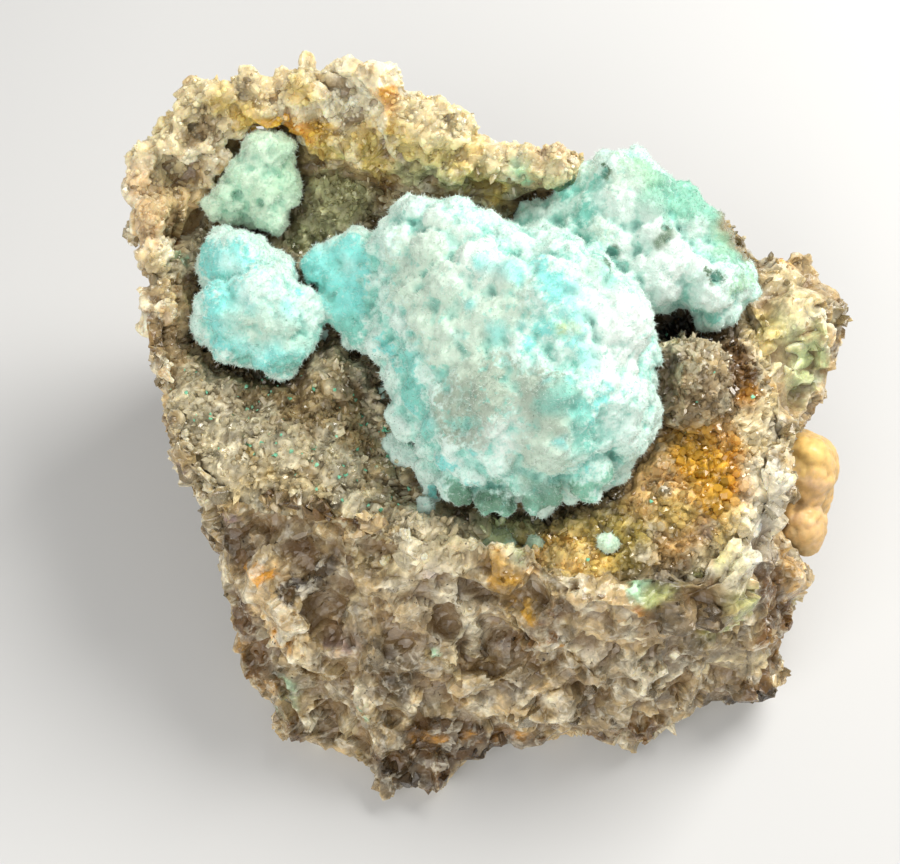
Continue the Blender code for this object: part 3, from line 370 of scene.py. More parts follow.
# Domes and pits of the growths, as the pixel at the middle and the radius in pixels. A dome counts
# only where the photo shows the growth itself there.
DOMES = (
    (426, 249, 16), (392, 246, 20), (462, 258, 20), (489, 311, 10), (411, 320, 13), (615, 329, 34),
    (454, 376, 13), (471, 446, 11), (567, 428, 15), (534, 461, 28), (584, 494, 12), (606, 478, 14),
    (441, 465, 14), (467, 480, 11), (484, 507, 9), (506, 505, 9), (519, 493, 10), (536, 500, 9),
    (552, 502, 10), (445, 446, 10), (424, 435, 13), (406, 398, 12), (500, 470, 12), (590, 455, 14),
    (625, 440, 14), (560, 400, 14), (520, 350, 18), (440, 290, 20), (548, 300, 20), (480, 400, 14),
    (430, 395, 13), (500, 430, 12), (395, 290, 14), (520, 268, 16), (570, 272, 16), (640, 400, 16),
    (659, 293, 21), (704, 306, 25), (674, 257, 22), (646, 232, 20), (623, 199, 24), (633, 268, 22),
    (600, 257, 13), (587, 194, 20), (562, 189, 16), (689, 237, 14), (699, 260, 12), (732, 274, 16),
    (725, 250, 14), (659, 178, 20), (608, 160, 13), (690, 205, 18), (655, 196, 14), (598, 225, 16),
    (220, 249, 26), (263, 295, 34), (217, 316, 24), (289, 264, 14), (253, 249, 14), (283, 321, 20),
    (324, 259, 22), (352, 241, 20), (345, 295, 18), (312, 300, 14), (240, 345, 16), (282, 352, 14),
    (268, 152, 20), (243, 178, 18), (268, 193, 18), (263, 224, 12), (288, 152, 12), (217, 198, 12),
    (212, 219, 9), (234, 205, 12), (290, 180, 12),
)
PITS = (
    (613, 253, 9), (666, 229, 11), (717, 279, 11), (738, 296, 9), (602, 171, 8), (310, 278, 8),
    (300, 262, 8), (306, 270, 8), (316, 284, 9), (236, 196, 8), (258, 205, 8),
)
# Where a growth's core is sunk deeper: the pixel, the radius in pixels and the height in mm.
CORE_FORMS = (
    (430, 206, 60, -2.6), (398, 216, 40, -1.6), (470, 214, 56, -2.2), (512, 232, 44, -1.6),
    (545, 246, 34, -1.1), (500, 508, 56, -2.0), (440, 490, 38, -1.4), (560, 500, 50, -1.7),
    (610, 470, 40, -1.0), (386, 345, 28, -0.8), (398, 385, 30, -0.8), (412, 430, 30, -0.6),
    (655, 350, 44, -0.8), (650, 400, 40, -0.6), (368, 255, 20, -1.6), (370, 285, 20, -1.6),
    (690, 275, 26, -0.9), (682, 322, 26, -1.6), (735, 315, 22, -1.2), (632, 215, 22, -0.7),
)
# Domes that stand beside a growth's solid, on the rock or the crust.
EXTRA_DOMES = {
    "aurichalcite_ball": (
        (316, 276, 13), (326, 300, 15), (340, 318, 15), (356, 336, 13), (308, 258, 12),
        (334, 285, 16), (346, 344, 9), (372, 350, 11), (383, 392, 12), (392, 416, 13),
        (324, 314, 13), (330, 330, 12), (340, 338, 11), (398, 430, 12), (408, 450, 13),
        (402, 440, 13), (413, 464, 13), (424, 476, 13), (432, 490, 10), (446, 490, 12),
        (460, 500, 9), (484, 509, 8), (507, 511, 8), (532, 510, 9), (590, 496, 10),
    ),
    "left_lobes": (
        (306, 296, 13), (318, 306, 14), (314, 324, 14), (312, 340, 11), (200, 306, 12),
        (210, 295, 15), (225, 352, 13), (262, 364, 12), (300, 352, 12),
    ),
    "green_cluster": (
        (212, 206, 11), (222, 190, 11), (232, 222, 9), (272, 226, 10), (292, 202, 10),
    ),
}
# Balls in the druse and in the brown knobs, as the pixel at the middle and the radius in pixels.
DRUSE_DOMES = (
    (694, 390, 34), (672, 404, 20), (714, 378, 18), (700, 410, 20), (225, 400, 14), (215, 440, 18),
    (238, 465, 18), (290, 450, 22), (345, 420, 12), (330, 480, 15), (375, 450, 15), (364, 373, 14),
    (255, 430, 12), (312, 470, 12), (400, 480, 14), (190, 400, 12), (660, 470, 16), (700, 500, 18),
    (725, 470, 16), (690, 445, 14), (650, 510, 14), (330, 195, 14), (305, 215, 12), (350, 215, 12),
)
KNOB_DOMES = (
    (812, 452, 26), (824, 478, 20), (798, 470, 22), (812, 500, 20), (800, 535, 25), (814, 548, 16),
    (790, 560, 18), (786, 515, 18), (806, 572, 14),
)
# Hollows and swellings of the broken rock: the pixel at the middle, the radius in pixels and the
# height in mm.
ROCK_FORMS = (
    (438, 645, 46, -0.6), (585, 690, 30, -0.7), (330, 600, 28, -0.7), (290, 593, 11, -1.0),
    (545, 655, 22, -0.9), (433, 760, 18, -0.8), (700, 600, 22, -1.2), (225, 535, 18, -0.6),
    (262, 560, 18, -0.9), (620, 615, 18, -1.0), (470, 655, 14, -0.6), (380, 700, 20, -0.8),
    (497, 700, 36, 1.1), (560, 705, 28, 0.9), (640, 672, 34, 1.1), (407, 563, 15, 0.8),
    (497, 533, 15, 1.2), (412, 528, 13, 1.3), (365, 590, 18, 0.7), (470, 608, 18, 0.8),
    (300, 650, 22, 0.8), (345, 730, 22, 0.8), (560, 555, 18, 0.7), (735, 600, 22, 0.8),
    (680, 640, 22, 0.7), (250, 610, 16, 0.6), (480, 543, 22, 0.7), (575, 553, 18, 0.6),
)
# Pixels along the creamy rim, where blocks of quartz stand.
RIM_PIXELS = (
    (140, 165), (150, 190), (165, 130), (195, 105), (235, 95), (270, 88), (310, 78), (350, 78),
    (378, 98), (404, 112), (432, 125), (470, 140), (510, 150), (550, 152), (300, 115), (345, 118),
    (220, 118), (182, 150), (165, 170), (152, 220), (156, 262), (420, 140), (390, 130), (480, 155),
    (256, 118), (320, 100), (205, 135), (240, 125), (360, 110), (160, 290),
)
# Pixels of the smooth ledge and the pale band at the right, where few grains stand.
PLAIN_PIXELS = (
    (800, 290), (820, 310), (790, 320), (770, 350), (800, 350), (765, 400), (815, 370), (790, 390),
    (770, 440), (770, 480), (765, 520), (840, 300), (830, 340), (775, 370), (750, 420),
    (806, 362), (796, 372),
)
# Pixels of the seam at the left edge of the pocket's crust, which small blocks fill.
SEAM_PIXELS = (
    (163, 395), (168, 412), (172, 428), (178, 445), (186, 460), (196, 474), (206, 486), (220, 494),
    (182, 436), (192, 452), (200, 466), (165, 380), (164, 362),
)
# Pixels of the orange tuft, the pale green mass and the cream knobs at the pocket's front edge.
TUFT_PIXELS = (
    (538, 552), (548, 547), (558, 552), (568, 548), (580, 555), (592, 560), (562, 562), (548, 560),
    (490, 530), (497, 540), (505, 528), (510, 545), (498, 520), (400, 552), (412, 562), (425, 556),
    (386, 560), (440, 550), (455, 548), (470, 545), (598, 566), (575, 566),
)
# Pixels of the white knob, the ball's smooth places, the golden floor and the green grains.
WHITE_BLOCK_PIXELS = ((408, 522), (418, 530), (412, 536))
SMOOTH_PIXELS = ((623, 329), (612, 345), (600, 305), (628, 355), (545, 450), (556, 462), (535, 445))
GOLD_PIXELS = ((699, 446), (715, 470), (690, 490), (730, 490), (650, 500), (670, 470), (720, 430))
SPECK_PIXELS = (
    (210, 390), (225, 400), (250, 410), (330, 430), (360, 450), (340, 480), (300, 420), (365, 500),
)
PIXELS_PER_MM = 9.2
RIM_LUMPS, RIM_CRYSTALS = 680, 700
CRUST_CRYSTALS, WALL_CRYSTALS = 9400, 2200
GREEN_GRAINS = 420
PATCH_REACH = 4.5  # how far the rim and the plain places go round each of their pixels, in mm
CRYSTAL_ROOM = 0.5  # how far inside the CAD box the rim's crystals start, in mm
LATTICE = 32  # how many steps a noise takes to repeat
PART_POINTS = 40000  # how many points in_parts takes at once
TOUCHING = 0.3  # how near a CAD node a dome's place has to be, in mm
BROKEN_BELOW, WHOLE_ABOVE = 25, 30  # heights in mm between which the broken faces give way
FRONT_FROM, FRONT_TO = 16, 20  # how far towards -Y the broken front starts, in mm
BLOCK_TRIANGLES = 118000  # about how many triangles the block is thinned to
QUARTZ_IOR = 1.54

VEIN_COLOURS = (SAND, DRAB, WHITE)
GROWTHS = ("aurichalcite_mass", "aurichalcite_left", "aurichalcite_green")
# Each growth's CAD nodes, with what knobby needs: how deep the core lies and the largest knob's
# radius, both in mm, and the share of its radius that a knob is sunk by.
LONE_NODULE = (0.5, 0.6, 0.0)
CORES = {
    "aurichalcite_ball": {"aurichalcite_mass": (1.5, 1.3, 0.15)},
    "left_lobes": {"aurichalcite_left": (1.6, 1.3, 0.0), "aurichalcite_nodule_left": LONE_NODULE},
    "green_cluster": {
        "aurichalcite_green": (1.5, 1.1, 0.0),
        "aurichalcite_nodule_front": LONE_NODULE,
        "aurichalcite_nodule_middle": LONE_NODULE,
        "aurichalcite_nodule_right": LONE_NODULE,
    },
}

# Stains out of the photo's sight, as colour, reach, strength and places in mm.
HIDDEN_STAINS = (
    (BROWN, 9.0, 0.6, (-32, 22, 14), (-30, -6, 12), (38, 12, 14), (20, 33, 16), (-14, 36, 14)),
    (TAN, 7.0, 0.6, (-36, 8, 22), (-20, 34, 26), (8, 34, 20), (34, 22, 22), (39, 0, 20)),
    (SMOKE, 8.0, 0.6, (0, 35, 10), (30, 28, 8), (-30, 28, 6), (-36, 0, 10)),
    (RUST, 3.5, 0.7, (-25, 33, 18), (14, 33, 26), (38, 16, 24), (-36, 14, 12), (28, 30, 16)),
)

collection = bpy.context.scene.collection


# ---------------------------------------------------------------- camera, light and floor
def make_camera():
    data = bpy.data.cameras.new("camera")
    data.lens = LENS
    data.sensor_width = SENSOR
    data.clip_start = CLIP_NEAR
    data.clip_end = CLIP_FAR
    camera = bpy.data.objects.new("camera", data)
    camera.location = Vector(CAMERA_AT) * MM
    camera.rotation_euler = (math.radians(CAMERA_TILT), 0, 0)
    collection.objects.link(camera)
    bpy.context.scene.camera = camera


def make_light(name, at, size, power):
    """A square soft light that faces the specimen."""
    data = bpy.data.lights.new(name, "AREA")
    data.shape = "SQUARE"
    data.size = size * MM
    data.energy = power
    data.color = LIGHT_COLOUR
    light = bpy.data.objects.new(name, data)
    light.location = Vector(at) * MM
    light.rotation_euler = (Vector(LIGHTS_AIM) - Vector(at)).to_track_quat("-Z", "Y").to_euler()
    collection.objects.link(light)


def make_world():
    world = bpy.data.worlds.new("studio")
    world.use_nodes = True
    background = world.node_tree.nodes["Background"]
    background.inputs["Color"].default_value = (*WORLD_COLOUR, 1)
    background.inputs["Strength"].default_value = WORLD_STRENGTH
    bpy.context.scene.world = world
    bpy.context.scene.view_settings.view_transform = "Standard"


def make_floor():
    half = FLOOR_SIZE / 2 * MM
    mesh = bpy.data.meshes.new("floor")
    corners = [(-half, -half, 0), (half, -half, 0), (half, half, 0), (-half, half, 0)]
    mesh.from_pydata(corners, [], [(0, 1, 2, 3)])
    shader = Shader("floor", FLOOR_COLOUR, FLOOR_ROUGHNESS)
    mesh.materials.append(shader.material)
    floor = bpy.data.objects.new("floor", mesh)
    collection.objects.link(floor)


# ---------------------------------------------------------------- materials
class Shader:
    """A Principled material whose node tree is built a node at a time."""

    def __init__(self, name, colour, roughness):
        self.material = bpy.data.materials.new(name)
        self.material.use_nodes = True
        self.tree = self.material.node_tree
        self.surface = self.tree.nodes["Principled BSDF"]
        self.set("Base Color", (*colour, 1))
        self.set("Roughness", roughness)

    def set(self, socket, value):
        """Sets a value that is the same all over the surface."""
        self.surface.inputs[socket].default_value = value

    def feed(self, socket, source):
        self.tree.links.new(source, self.surface.inputs[socket])

    def plug(self, socket, value):
        """Gives a socket another node's output, a colour or a number."""
        if isinstance(value, bpy.types.NodeSocket):
            self.tree.links.new(value, socket)
        elif isinstance(value, tuple) and socket.type == "RGBA":
            socket.default_value = (*value, 1)
        else:
            socket.default_value = value

    def node(self, kind, inputs, **settings):
        node = self.tree.nodes.new(kind)
        for name, value in settings.items():
            setattr(node, name, value)
        for name, value in inputs.items():
            self.plug(node.inputs[name], value)
        return node

    def place(self):
        return self.node("ShaderNodeTexCoord", {}).outputs["Object"]

    def attribute(self, name, output="Fac"):
        return self.node("ShaderNodeAttribute", {}, attribute_name=name).outputs[output]

    def noise(self, size, detail=3.0, roughness=0.55, warp=0.0):
        """Noise from about 0.3 to 0.7 with lumps of this size in mm."""
        inputs = {
            "Vector": self.place(),
            "Scale": 1 / (size * MM),
            "Detail": detail,
            "Roughness": roughness,
            "Distortion": warp,
        }
        return self.node("ShaderNodeTexNoise", inputs).outputs["Fac"]

    def cells(self, size):
        """How far each point is from the nearest of seeds this many mm apart."""
        inputs = {"Vector": self.place(), "Scale": 1 / (size * MM)}
        return self.node("ShaderNodeTexVoronoi", inputs).outputs["Distance"]

    def grains(self, size):
        """A number from 0 to 1 of its own for each grain of about this size in mm."""
        inputs = {"Vector": self.place(), "Scale": 0.7 / (size * MM), "Detail": 2.0}
        shift = self.node("ShaderNodeTexNoise", inputs).outputs["Color"]
        inputs = {0: shift, 1: (0.9 * size * MM,) * 3, 2: self.place()}
        moved = self.node("ShaderNodeVectorMath", inputs, operation="MULTIPLY_ADD").outputs[0]
        inputs = {"Vector": moved, "Scale": 1 / (size * MM)}
        colour = self.node("ShaderNodeTexVoronoi", inputs).outputs["Color"]
        return self.node("ShaderNodeSeparateColor", {"Color": colour}).outputs["Red"]

    def levels(self, source, low, high, to_low=0.0, to_high=1.0):
        """Takes low to to_low and high to to_high, and holds what lies outside."""
        inputs = {
            "Value": source,
            "From Min": low,
            "From Max": high,
            "To Min": to_low,
            "To Max": to_high,
        }
        return self.node("ShaderNodeMapRange", inputs).outputs["Result"]

    def maths(self, operation, *values):
        node = self.node("ShaderNodeMath", {}, operation=operation)
        for number, value in enumerate(values):
            self.plug(node.inputs[number], value)
        return node.outputs[0]

    def mix(self, factor, a, b, blend="MIX"):
        node = self.node("ShaderNodeMix", {}, data_type="RGBA", blend_type=blend, clamp_factor=True)
        self.plug(node.inputs[0], factor)
        self.plug(node.inputs[6], a)
        self.plug(node.inputs[7], b)
        return node.outputs[2]

    def times(self, colour, value):
        """The colour made darker or lighter by a value that varies over the surface."""
        inputs = {"Red": value, "Green": value, "Blue": value}
        grey = self.node("ShaderNodeCombineColor", inputs).outputs["Color"]
        return self.mix(1.0, colour, grey, "MULTIPLY")

    def bump(self, height, distance, strength):
        inputs = {"Height": height, "Distance": distance * MM, "Strength": strength}
        self.feed("Normal", self.node("ShaderNodeBump", inputs).outputs["Normal"])

    def stained(self, colour, size, crisp):
        """The colour under the stains, whose edges break up into specks of this size in mm. Crisp,
        from 0 to 0.3, is how far they break up."""
        grain = self.levels(self.noise(size, 4.0, 0.6), 0.32, 0.68, -crisp, crisp)
        cover = self.maths("ADD", self.attribute("stain", "Alpha"), grain)
        return self.mix(self.levels(cover, 0.3, 0.7), colour, self.attribute("stain", "Color"))

    def softened(self, weight, radius, scale):
        """Lets light sink in this far, in mm."""
        self.set("Subsurface Weight", weight)
        self.set("Subsurface Radius", radius)
        self.set("Subsurface Scale", scale * MM)


def quartz(name, colours, roughness, clear=0.0, soft=0.0, shade=(0.6, 1.15), mottle=(0.6, 1.2),
           crevice=0.0, specks=True, grain=0.7, veins=0.0):
    """Quartz of clouds of three colours, mottled milky and smoky, with stains and dark specks.
    Crevice is how strongly brown dirt and painted shade darken the hollows, grain how rough
    the surface is, and veins how strongly glassy and milky veins cross its broken faces."""
    shader = Shader(name, colours[0], roughness)
    cloud = shader.levels(shader.noise(7.0, 3.0), 0.42, 0.58)
    colour = shader.mix(cloud, colours[0], colours[1])
    cloud = shader.levels(shader.noise(3.1, 3.0, warp=0.4), 0.50, 0.62)
    colour = shader.mix(cloud, colour, colours[2])
    colour = shader.stained(colour, 1.1, 0.22)
    if veins:
        broken = shader.attribute("broken")
        glass = shader.levels(shader.noise(2.6, 3.0, 0.55, 0.6), 0.50, 0.60, 0.0, veins)
        colour = shader.mix(shader.maths("MULTIPLY", glass, broken), colour, GLASSY)
        milk = shader.levels(shader.noise(1.9, 5.0, 0.6, 1.2), 0.53, 0.63, 0.0, veins)
        colour = shader.mix(shader.maths("MULTIPLY", milk, broken), colour, MILKY)
    cloud = shader.levels(shader.noise(1.3, 5.0, 0.62, 0.3), 0.36, 0.64, *mottle)
    colour = shader.times(colour, cloud)
    for size, spread_of in ((0.6, 0.3 * grain), (1.7, 0.2 * grain)):
        each = shader.levels(shader.grains(size), 0.0, 1.0, 1 - spread_of, 1 + 0.8 * spread_of)
        colour = shader.times(colour, each)
    colour = shader.times(colour, shader.levels(shader.attribute("shade"), 0.0, 1.0, *shade))
    if crevice:
        # Hollows are painted browner and darker, partly brown dirt and partly painted shade; raised
        # places are painted up to 15% lighter.
        dirt_and_shade = shader.levels(shader.attribute("relief"), 0.05, 0.5, crevice, 0.0)
        colour = shader.mix(dirt_and_shade, colour, BROWN)
        raised_lighter = shader.levels(shader.attribute("relief"), 0.5, 0.9, 1.0, 1.15)
        colour = shader.times(colour, raised_lighter)
    if specks:
        speck = shader.levels(shader.noise(0.45, 2.0), 0.665, 0.70)
        where = shader.levels(shader.noise(5.0, 2.0), 0.50, 0.62)
        colour = shader.mix(shader.maths("MULTIPLY", speck, where), colour, UMBER_AND_SHADE)
    shader.feed("Base Color", colour)
    rough = shader.levels(shader.noise(0.5, 3.0), 0.35, 0.65, roughness * 0.5, roughness * 1.6)
    shader.feed("Roughness", rough)
    grains = shader.maths("MULTIPLY", shader.grains(0.5), 0.25)
    height = shader.maths("ADD", shader.noise(0.5, 5.0, 0.65), grains)
    shader.bump(height, 0.2, grain)
    shader.set("IOR", QUARTZ_IOR)
    if clear:
        shader.set("Transmission Weight", clear)
    if soft:
        shader.softened(soft, (1.0, 0.8, 0.55), 1.2)
    return shader.material


def aurichalcite(name, deep, pale, green, roughness=0.6, tip=0.0):
    """Velvety needles: deep colour and painted shade in the creases, paler on the knobs, white at
    needles' tips.
    """
    shader = Shader(name, pale, roughness)
    patch = shader.levels(shader.noise(3.0, 3.0, 0.6), 0.38, 0.62)
    relief = shader.levels(shader.attribute("relief"), 0.2, 0.75)
    fine = shader.levels(shader.noise(0.42, 4.0, 0.65), 0.34, 0.66)
    lift = shader.maths("MULTIPLY_ADD", patch, 0.3, shader.maths("MULTIPLY", relief, 0.5))
    lift = shader.maths("MULTIPLY_ADD", fine, 0.45, lift)
    colour = shader.mix(shader.levels(lift, 0.22, 0.8), deep, pale)
    tinge = shader.levels(shader.noise(5.0, 2.0), 0.48, 0.64, 0.0, 0.45)
    colour = shader.mix(tinge, colour, green)
    colour = shader.stained(colour, 0.6, 0.4)
    speck = shader.levels(shader.noise(0.8, 3.0, 0.6), 0.57, 0.66, 0.0, 0.6)
    where = shader.levels(shader.noise(4.0, 2.0), 0.42, 0.56)
    colour = shader.mix(shader.maths("MULTIPLY", speck, where), colour, deep)
    # Creases take the deep colour, partly the real colour and partly painted shade, and the deepest
    # creases are painted darker still: painted shade.
    crease_colour_and_shade = shader.levels(shader.attribute("relief"), 0.05, 0.45, 0.75, 0.0)
    colour = shader.mix(crease_colour_and_shade, colour, deep)
    painted_crease_shade = shader.levels(shader.attribute("relief"), 0.0, 0.2, 0.7, 1.0)
    colour = shader.times(colour, painted_crease_shade)
    colour = shader.times(colour, shader.levels(shader.attribute("shade"), 0.0, 1.0, 0.86, 1.12))
    if tip:
        white = shader.levels(shader.attribute("tip"), 0.1, 0.9, 0.0, tip)
        colour = shader.mix(white, colour, NEEDLE_TIP)
    shader.feed("Base Color", colour)
    spikes = shader.maths("MULTIPLY", shader.cells(0.3), 0.4)
    shader.bump(shader.maths("SUBTRACT", shader.noise(0.3, 5.0, 0.7), spikes), 0.13, 0.8)
    shader.set("Sheen Weight", 0.25)
    shader.set("Sheen Roughness", 0.4)
    shader.set("Sheen Tint", (0.85, 1.0, 0.95, 1))
    shader.softened(0.15, (0.6, 1.0, 0.9), 0.6)
    return shader.material


# ---------------------------------------------------------------- numbers
def joined(parts):
    """Several lots of corners and triangles as one."""
    corners, triangles, total = [], [], 0
    for points, faces in parts:
        corners.append(points)
        triangles.append(faces + total)
        total += len(points)
    return np.concatenate(corners), np.concatenate(triangles)


def mesh_arrays(mesh):
    """A mesh's corners, in mm, and its triangles."""
    points = np.zeros(len(mesh.vertices) * 3, np.float32)
    mesh.vertices.foreach_get("co", points)
    mesh.calc_loop_triangles()
    faces = np.zeros(len(mesh.loop_triangles) * 3, np.int32)
    mesh.loop_triangles.foreach_get("vertices", faces)
    return points.reshape(-1, 3).astype(float) / MM, faces.reshape(-1, 3)


def solid(*nodes):
    """The corners in mm and triangles of the named CAD nodes."""
    return joined([mesh_arrays(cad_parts[node].data) for node in nodes])


def tree_of(points, faces):
    return BVHTree.FromPolygons(points.tolist(), faces.tolist())


def unit(vectors):
    return vectors / np.maximum(np.linalg.norm(vectors, axis=-1, keepdims=True), 1e-12)


def across_faces(points, faces):
    """A vector square to each triangle, as long as twice its area."""
    a, b, c = points[faces[:, 0]], points[faces[:, 1]], points[faces[:, 2]]
    return np.cross(b - a, c - a)


def double_areas(points, faces):
    return np.linalg.norm(across_faces(points, faces), axis=1)


def corner_normals(points, faces):
    across = across_faces(points, faces)
    total = [np.bincount(faces.ravel(), np.repeat(across[:, i], 3), len(points)) for i in range(3)]
    return unit(np.stack(total, axis=1))


def smoothed(points, faces, rounds):
    """The same surface with each corner moved, this many times, to the middle of its neighbours."""
    ends = np.concatenate([faces[:, [0, 1]], faces[:, [1, 2]], faces[:, [2, 0]]])
    ends = np.concatenate([ends, ends[:, ::-1]])
    share = np.maximum(np.bincount(ends[:, 0], minlength=len(points)), 1)[:, None]
    for _ in range(rounds):
        total = [np.bincount(ends[:, 0], points[ends[:, 1], i], len(points)) for i in range(3)]
        points = np.stack(total, axis=1) / share
    return points


def relief(points, faces, rounds, height):
    """How each corner stands to the smoothed surface: 0 is this deep in a crease, 1 as high on a
    knob, in mm."""
    smooth = smoothed(points, faces, rounds)
    out = ((points - smooth) * corner_normals(smooth, faces)).sum(axis=1)
    return np.clip(0.5 + 0.5 * out / height, 0, 1)


def ease(x, low, high):
    """0 below low, 1 above high, smooth between."""
    x = np.clip((x - low) / (high - low), 0, 1)
    return x * x * (3 - 2 * x)


def wander(points, size, seed, channels=3):
    """Smooth noise from -1 to 1 in each channel, with lumps of about this size in mm."""
    table = np.random.default_rng(seed).uniform(-1, 1, (LATTICE, LATTICE, LATTICE, channels))
    at = points / size
    low = np.floor(at).astype(int)
    part = at - low
    part = part * part * (3 - 2 * part)
    total = np.zeros((len(points), channels))
    for corner in np.ndindex(2, 2, 2):
        weight = np.where(corner, part, 1 - part).prod(axis=1)
        i, j, k = ((low + corner) % LATTICE).T
        total += weight[:, None] * table[i, j, k]
    return total


def ripple(points, size, seed):
    """The same noise in one channel, as one number for each point."""
    return wander(points, size, seed, 1)[:, 0]


def near_seeds(points, spacing, rng):
    """The 27 seeds round each point, on a lattice whose points are shaken, and their numbers."""
    shake = rng.uniform(0.08, 0.92, (LATTICE, LATTICE, LATTICE, 3))
    steps = np.array([(i, j, k) for i in (-1, 0, 1) for j in (-1, 0, 1) for k in (-1, 0, 1)])
    cells = np.floor(points / spacing).astype(int)[:, None] + steps
    i, j, k = np.moveaxis(cells % LATTICE, 2, 0)
    return (cells + shake[i, j, k]) * spacing, (i * LATTICE + j) * LATTICE + k


def fracture(points, cell, tilt, depth, rng):
    """How far each corner moves out, so that the surface breaks into flat chips of about the
    cell's size, each tilted its own way; and each corner's chip's own shade."""
    seeds, number = near_seeds(points, cell, rng)
    nearest = np.linalg.norm(seeds - points[:, None], axis=2).argmin(axis=1)
    rows = np.arange(len(points))
    seed, own = seeds[rows, nearest], number[rows, nearest]
    lean = rng.normal(0, tilt, (LATTICE**3, 3))[own]
    lift = rng.uniform(-0.5, 0.5, LATTICE**3)[own] * depth
    shade = rng.uniform(0, 1, LATTICE**3)[own]
    return np.clip(((points - seed) * lean).sum(axis=1) + lift, -depth, depth), shade


def knobs(points, size, height, rng):
    """How far each corner moves out, so that the surface swells into round knobs, and how near
    the top of its knob it is, from 0 to 1."""
    seeds, number = near_seeds(points, size * 1.2, rng)
    radius = rng.uniform(0.75, 1.3, LATTICE**3)[number] * size
    gaps = np.linalg.norm(seeds - points[:, None], axis=2) / radius
    dome = np.sqrt(np.clip(1 - gaps * gaps, 0, 1)).max(axis=1)
    return (dome - 0.5) * height, dome


def in_parts(function, points, **numbers):
    """Runs a function of many points a part at a time, to save memory. Every part draws the same
    random numbers."""
    made = []
    for first in range(0, len(points), PART_POINTS):
        rng = np.random.default_rng(SEED + len(numbers))
        made.append(function(points[first : first + PART_POINTS], rng=rng, **numbers))
    return tuple(np.concatenate(part) for part in zip(*made))


# ---------------------------------------------------------------- the photo's places
cad_tree = tree_of(*solid(*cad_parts))
turn_to_world = Euler((math.radians(CAMERA_TILT), 0, 0)).to_matrix()


def seen(rows):
    """For each row that starts with a pixel where the photo shows the specimen: the place there, in
    mm, the way its surface faces, and the rest of the row."""
    focus = LENS / SENSOR * WIDTH
    for x, y, *rest in rows:
        ray = turn_to_world @ Vector((x - WIDTH / 2, HEIGHT / 2 - y, -focus))
        place, out = cad_tree.ray_cast(Vector(CAMERA_AT), ray)[:2]
        if place is not None:
            yield (place, out, *rest)


def stain_places(rows):
    """The place, colour, reach and strength of each stain that the photo shows."""
    return [
        (np.array(place), colour, reach, strength)
        for colour, reach, strength, *pixels in rows
        for place, _ in seen(pixels)
    ]


def hidden_places(rows):
    """The same for stains whose places are given in mm."""
    return [
        (np.array(place, float), colour, reach, strength)
        for colour, reach, strength, *places in rows
        for place in places
    ]


rock_stains = stain_places(STAINS) + hidden_places(HIDDEN_STAINS)
growth_stains = stain_places(GROWTH_STAINS)


def stained(points, stains=rock_stains):
    """The stains' colour and strength at each point: four columns."""
    moved = points + wander(points, size=1.7, seed=21) * 0.6
    moved = moved + wander(points, size=0.6, seed=22) * 0.3
    colour = np.zeros((len(points), 3))
    cover = np.zeros(len(points))
    for place, rgb, reach, strength in stains:
        near = np.flatnonzero(np.abs(moved - place).max(axis=1) < reach * 1.5)
        if not len(near):
            continue
        far = np.linalg.norm(moved[near] - place, axis=1) / reach
        weight = strength * np.exp(-(far**3))
        keep = cover[near] * (1 - weight)
        total = np.maximum(keep + weight, 1e-9)
        blend = (weight / total)[:, None]
        colour[near] = colour[near] * (1 - blend) + np.array(rgb) * blend
        cover[near] = total
    return np.column_stack([colour, cover])


def raised(points, rows, share):
    """How far forms at the photo's pixels lift each point, in mm: rows of a pixel, a radius in
    pixels and, where share is None, a height in mm; else the height is that share of the radius."""
    rise = np.zeros(len(points))
    for place, _, radius, *height in seen(rows):
        reach = radius / PIXELS_PER_MM
        near = np.flatnonzero(np.abs(points - np.array(place)).max(axis=1) < reach)
        far = np.linalg.norm(points[near] - np.array(place), axis=1) / reach
        tall = height[0] if share is None else share * reach
        rise[near] += tall * np.clip(1 - far * far, 0, 1) ** 1.5
    return rise


def near_pixels(points, reach, pixels):
    """1 at the photo's named pixels, falling to 0 at this reach in mm."""
    total = np.zeros(len(points))
    for place, _ in seen(pixels):
        far = np.linalg.norm(points - np.array(place), axis=1) / reach
        total = np.maximum(total, 1 - ease(far, 0.55, 1.0))
    return total


def near_nodes(points, reach, nodes):
    """1 at the named CAD nodes, falling to 0 at this reach in mm."""
    tree = tree_of(*solid(*nodes))
    far = np.full(len(points), float(reach))
    for number, point in enumerate(points.tolist()):
        found = tree.find_nearest(point, reach)[3]
        if found is not None:
            far[number] = found
    return 1 - ease(far / reach, 0.2, 1.0)


def on_front(points):
    """1 on the broken front, falling to 0 behind it."""
    return ease(-points[:, 1], FRONT_FROM, FRONT_TO)


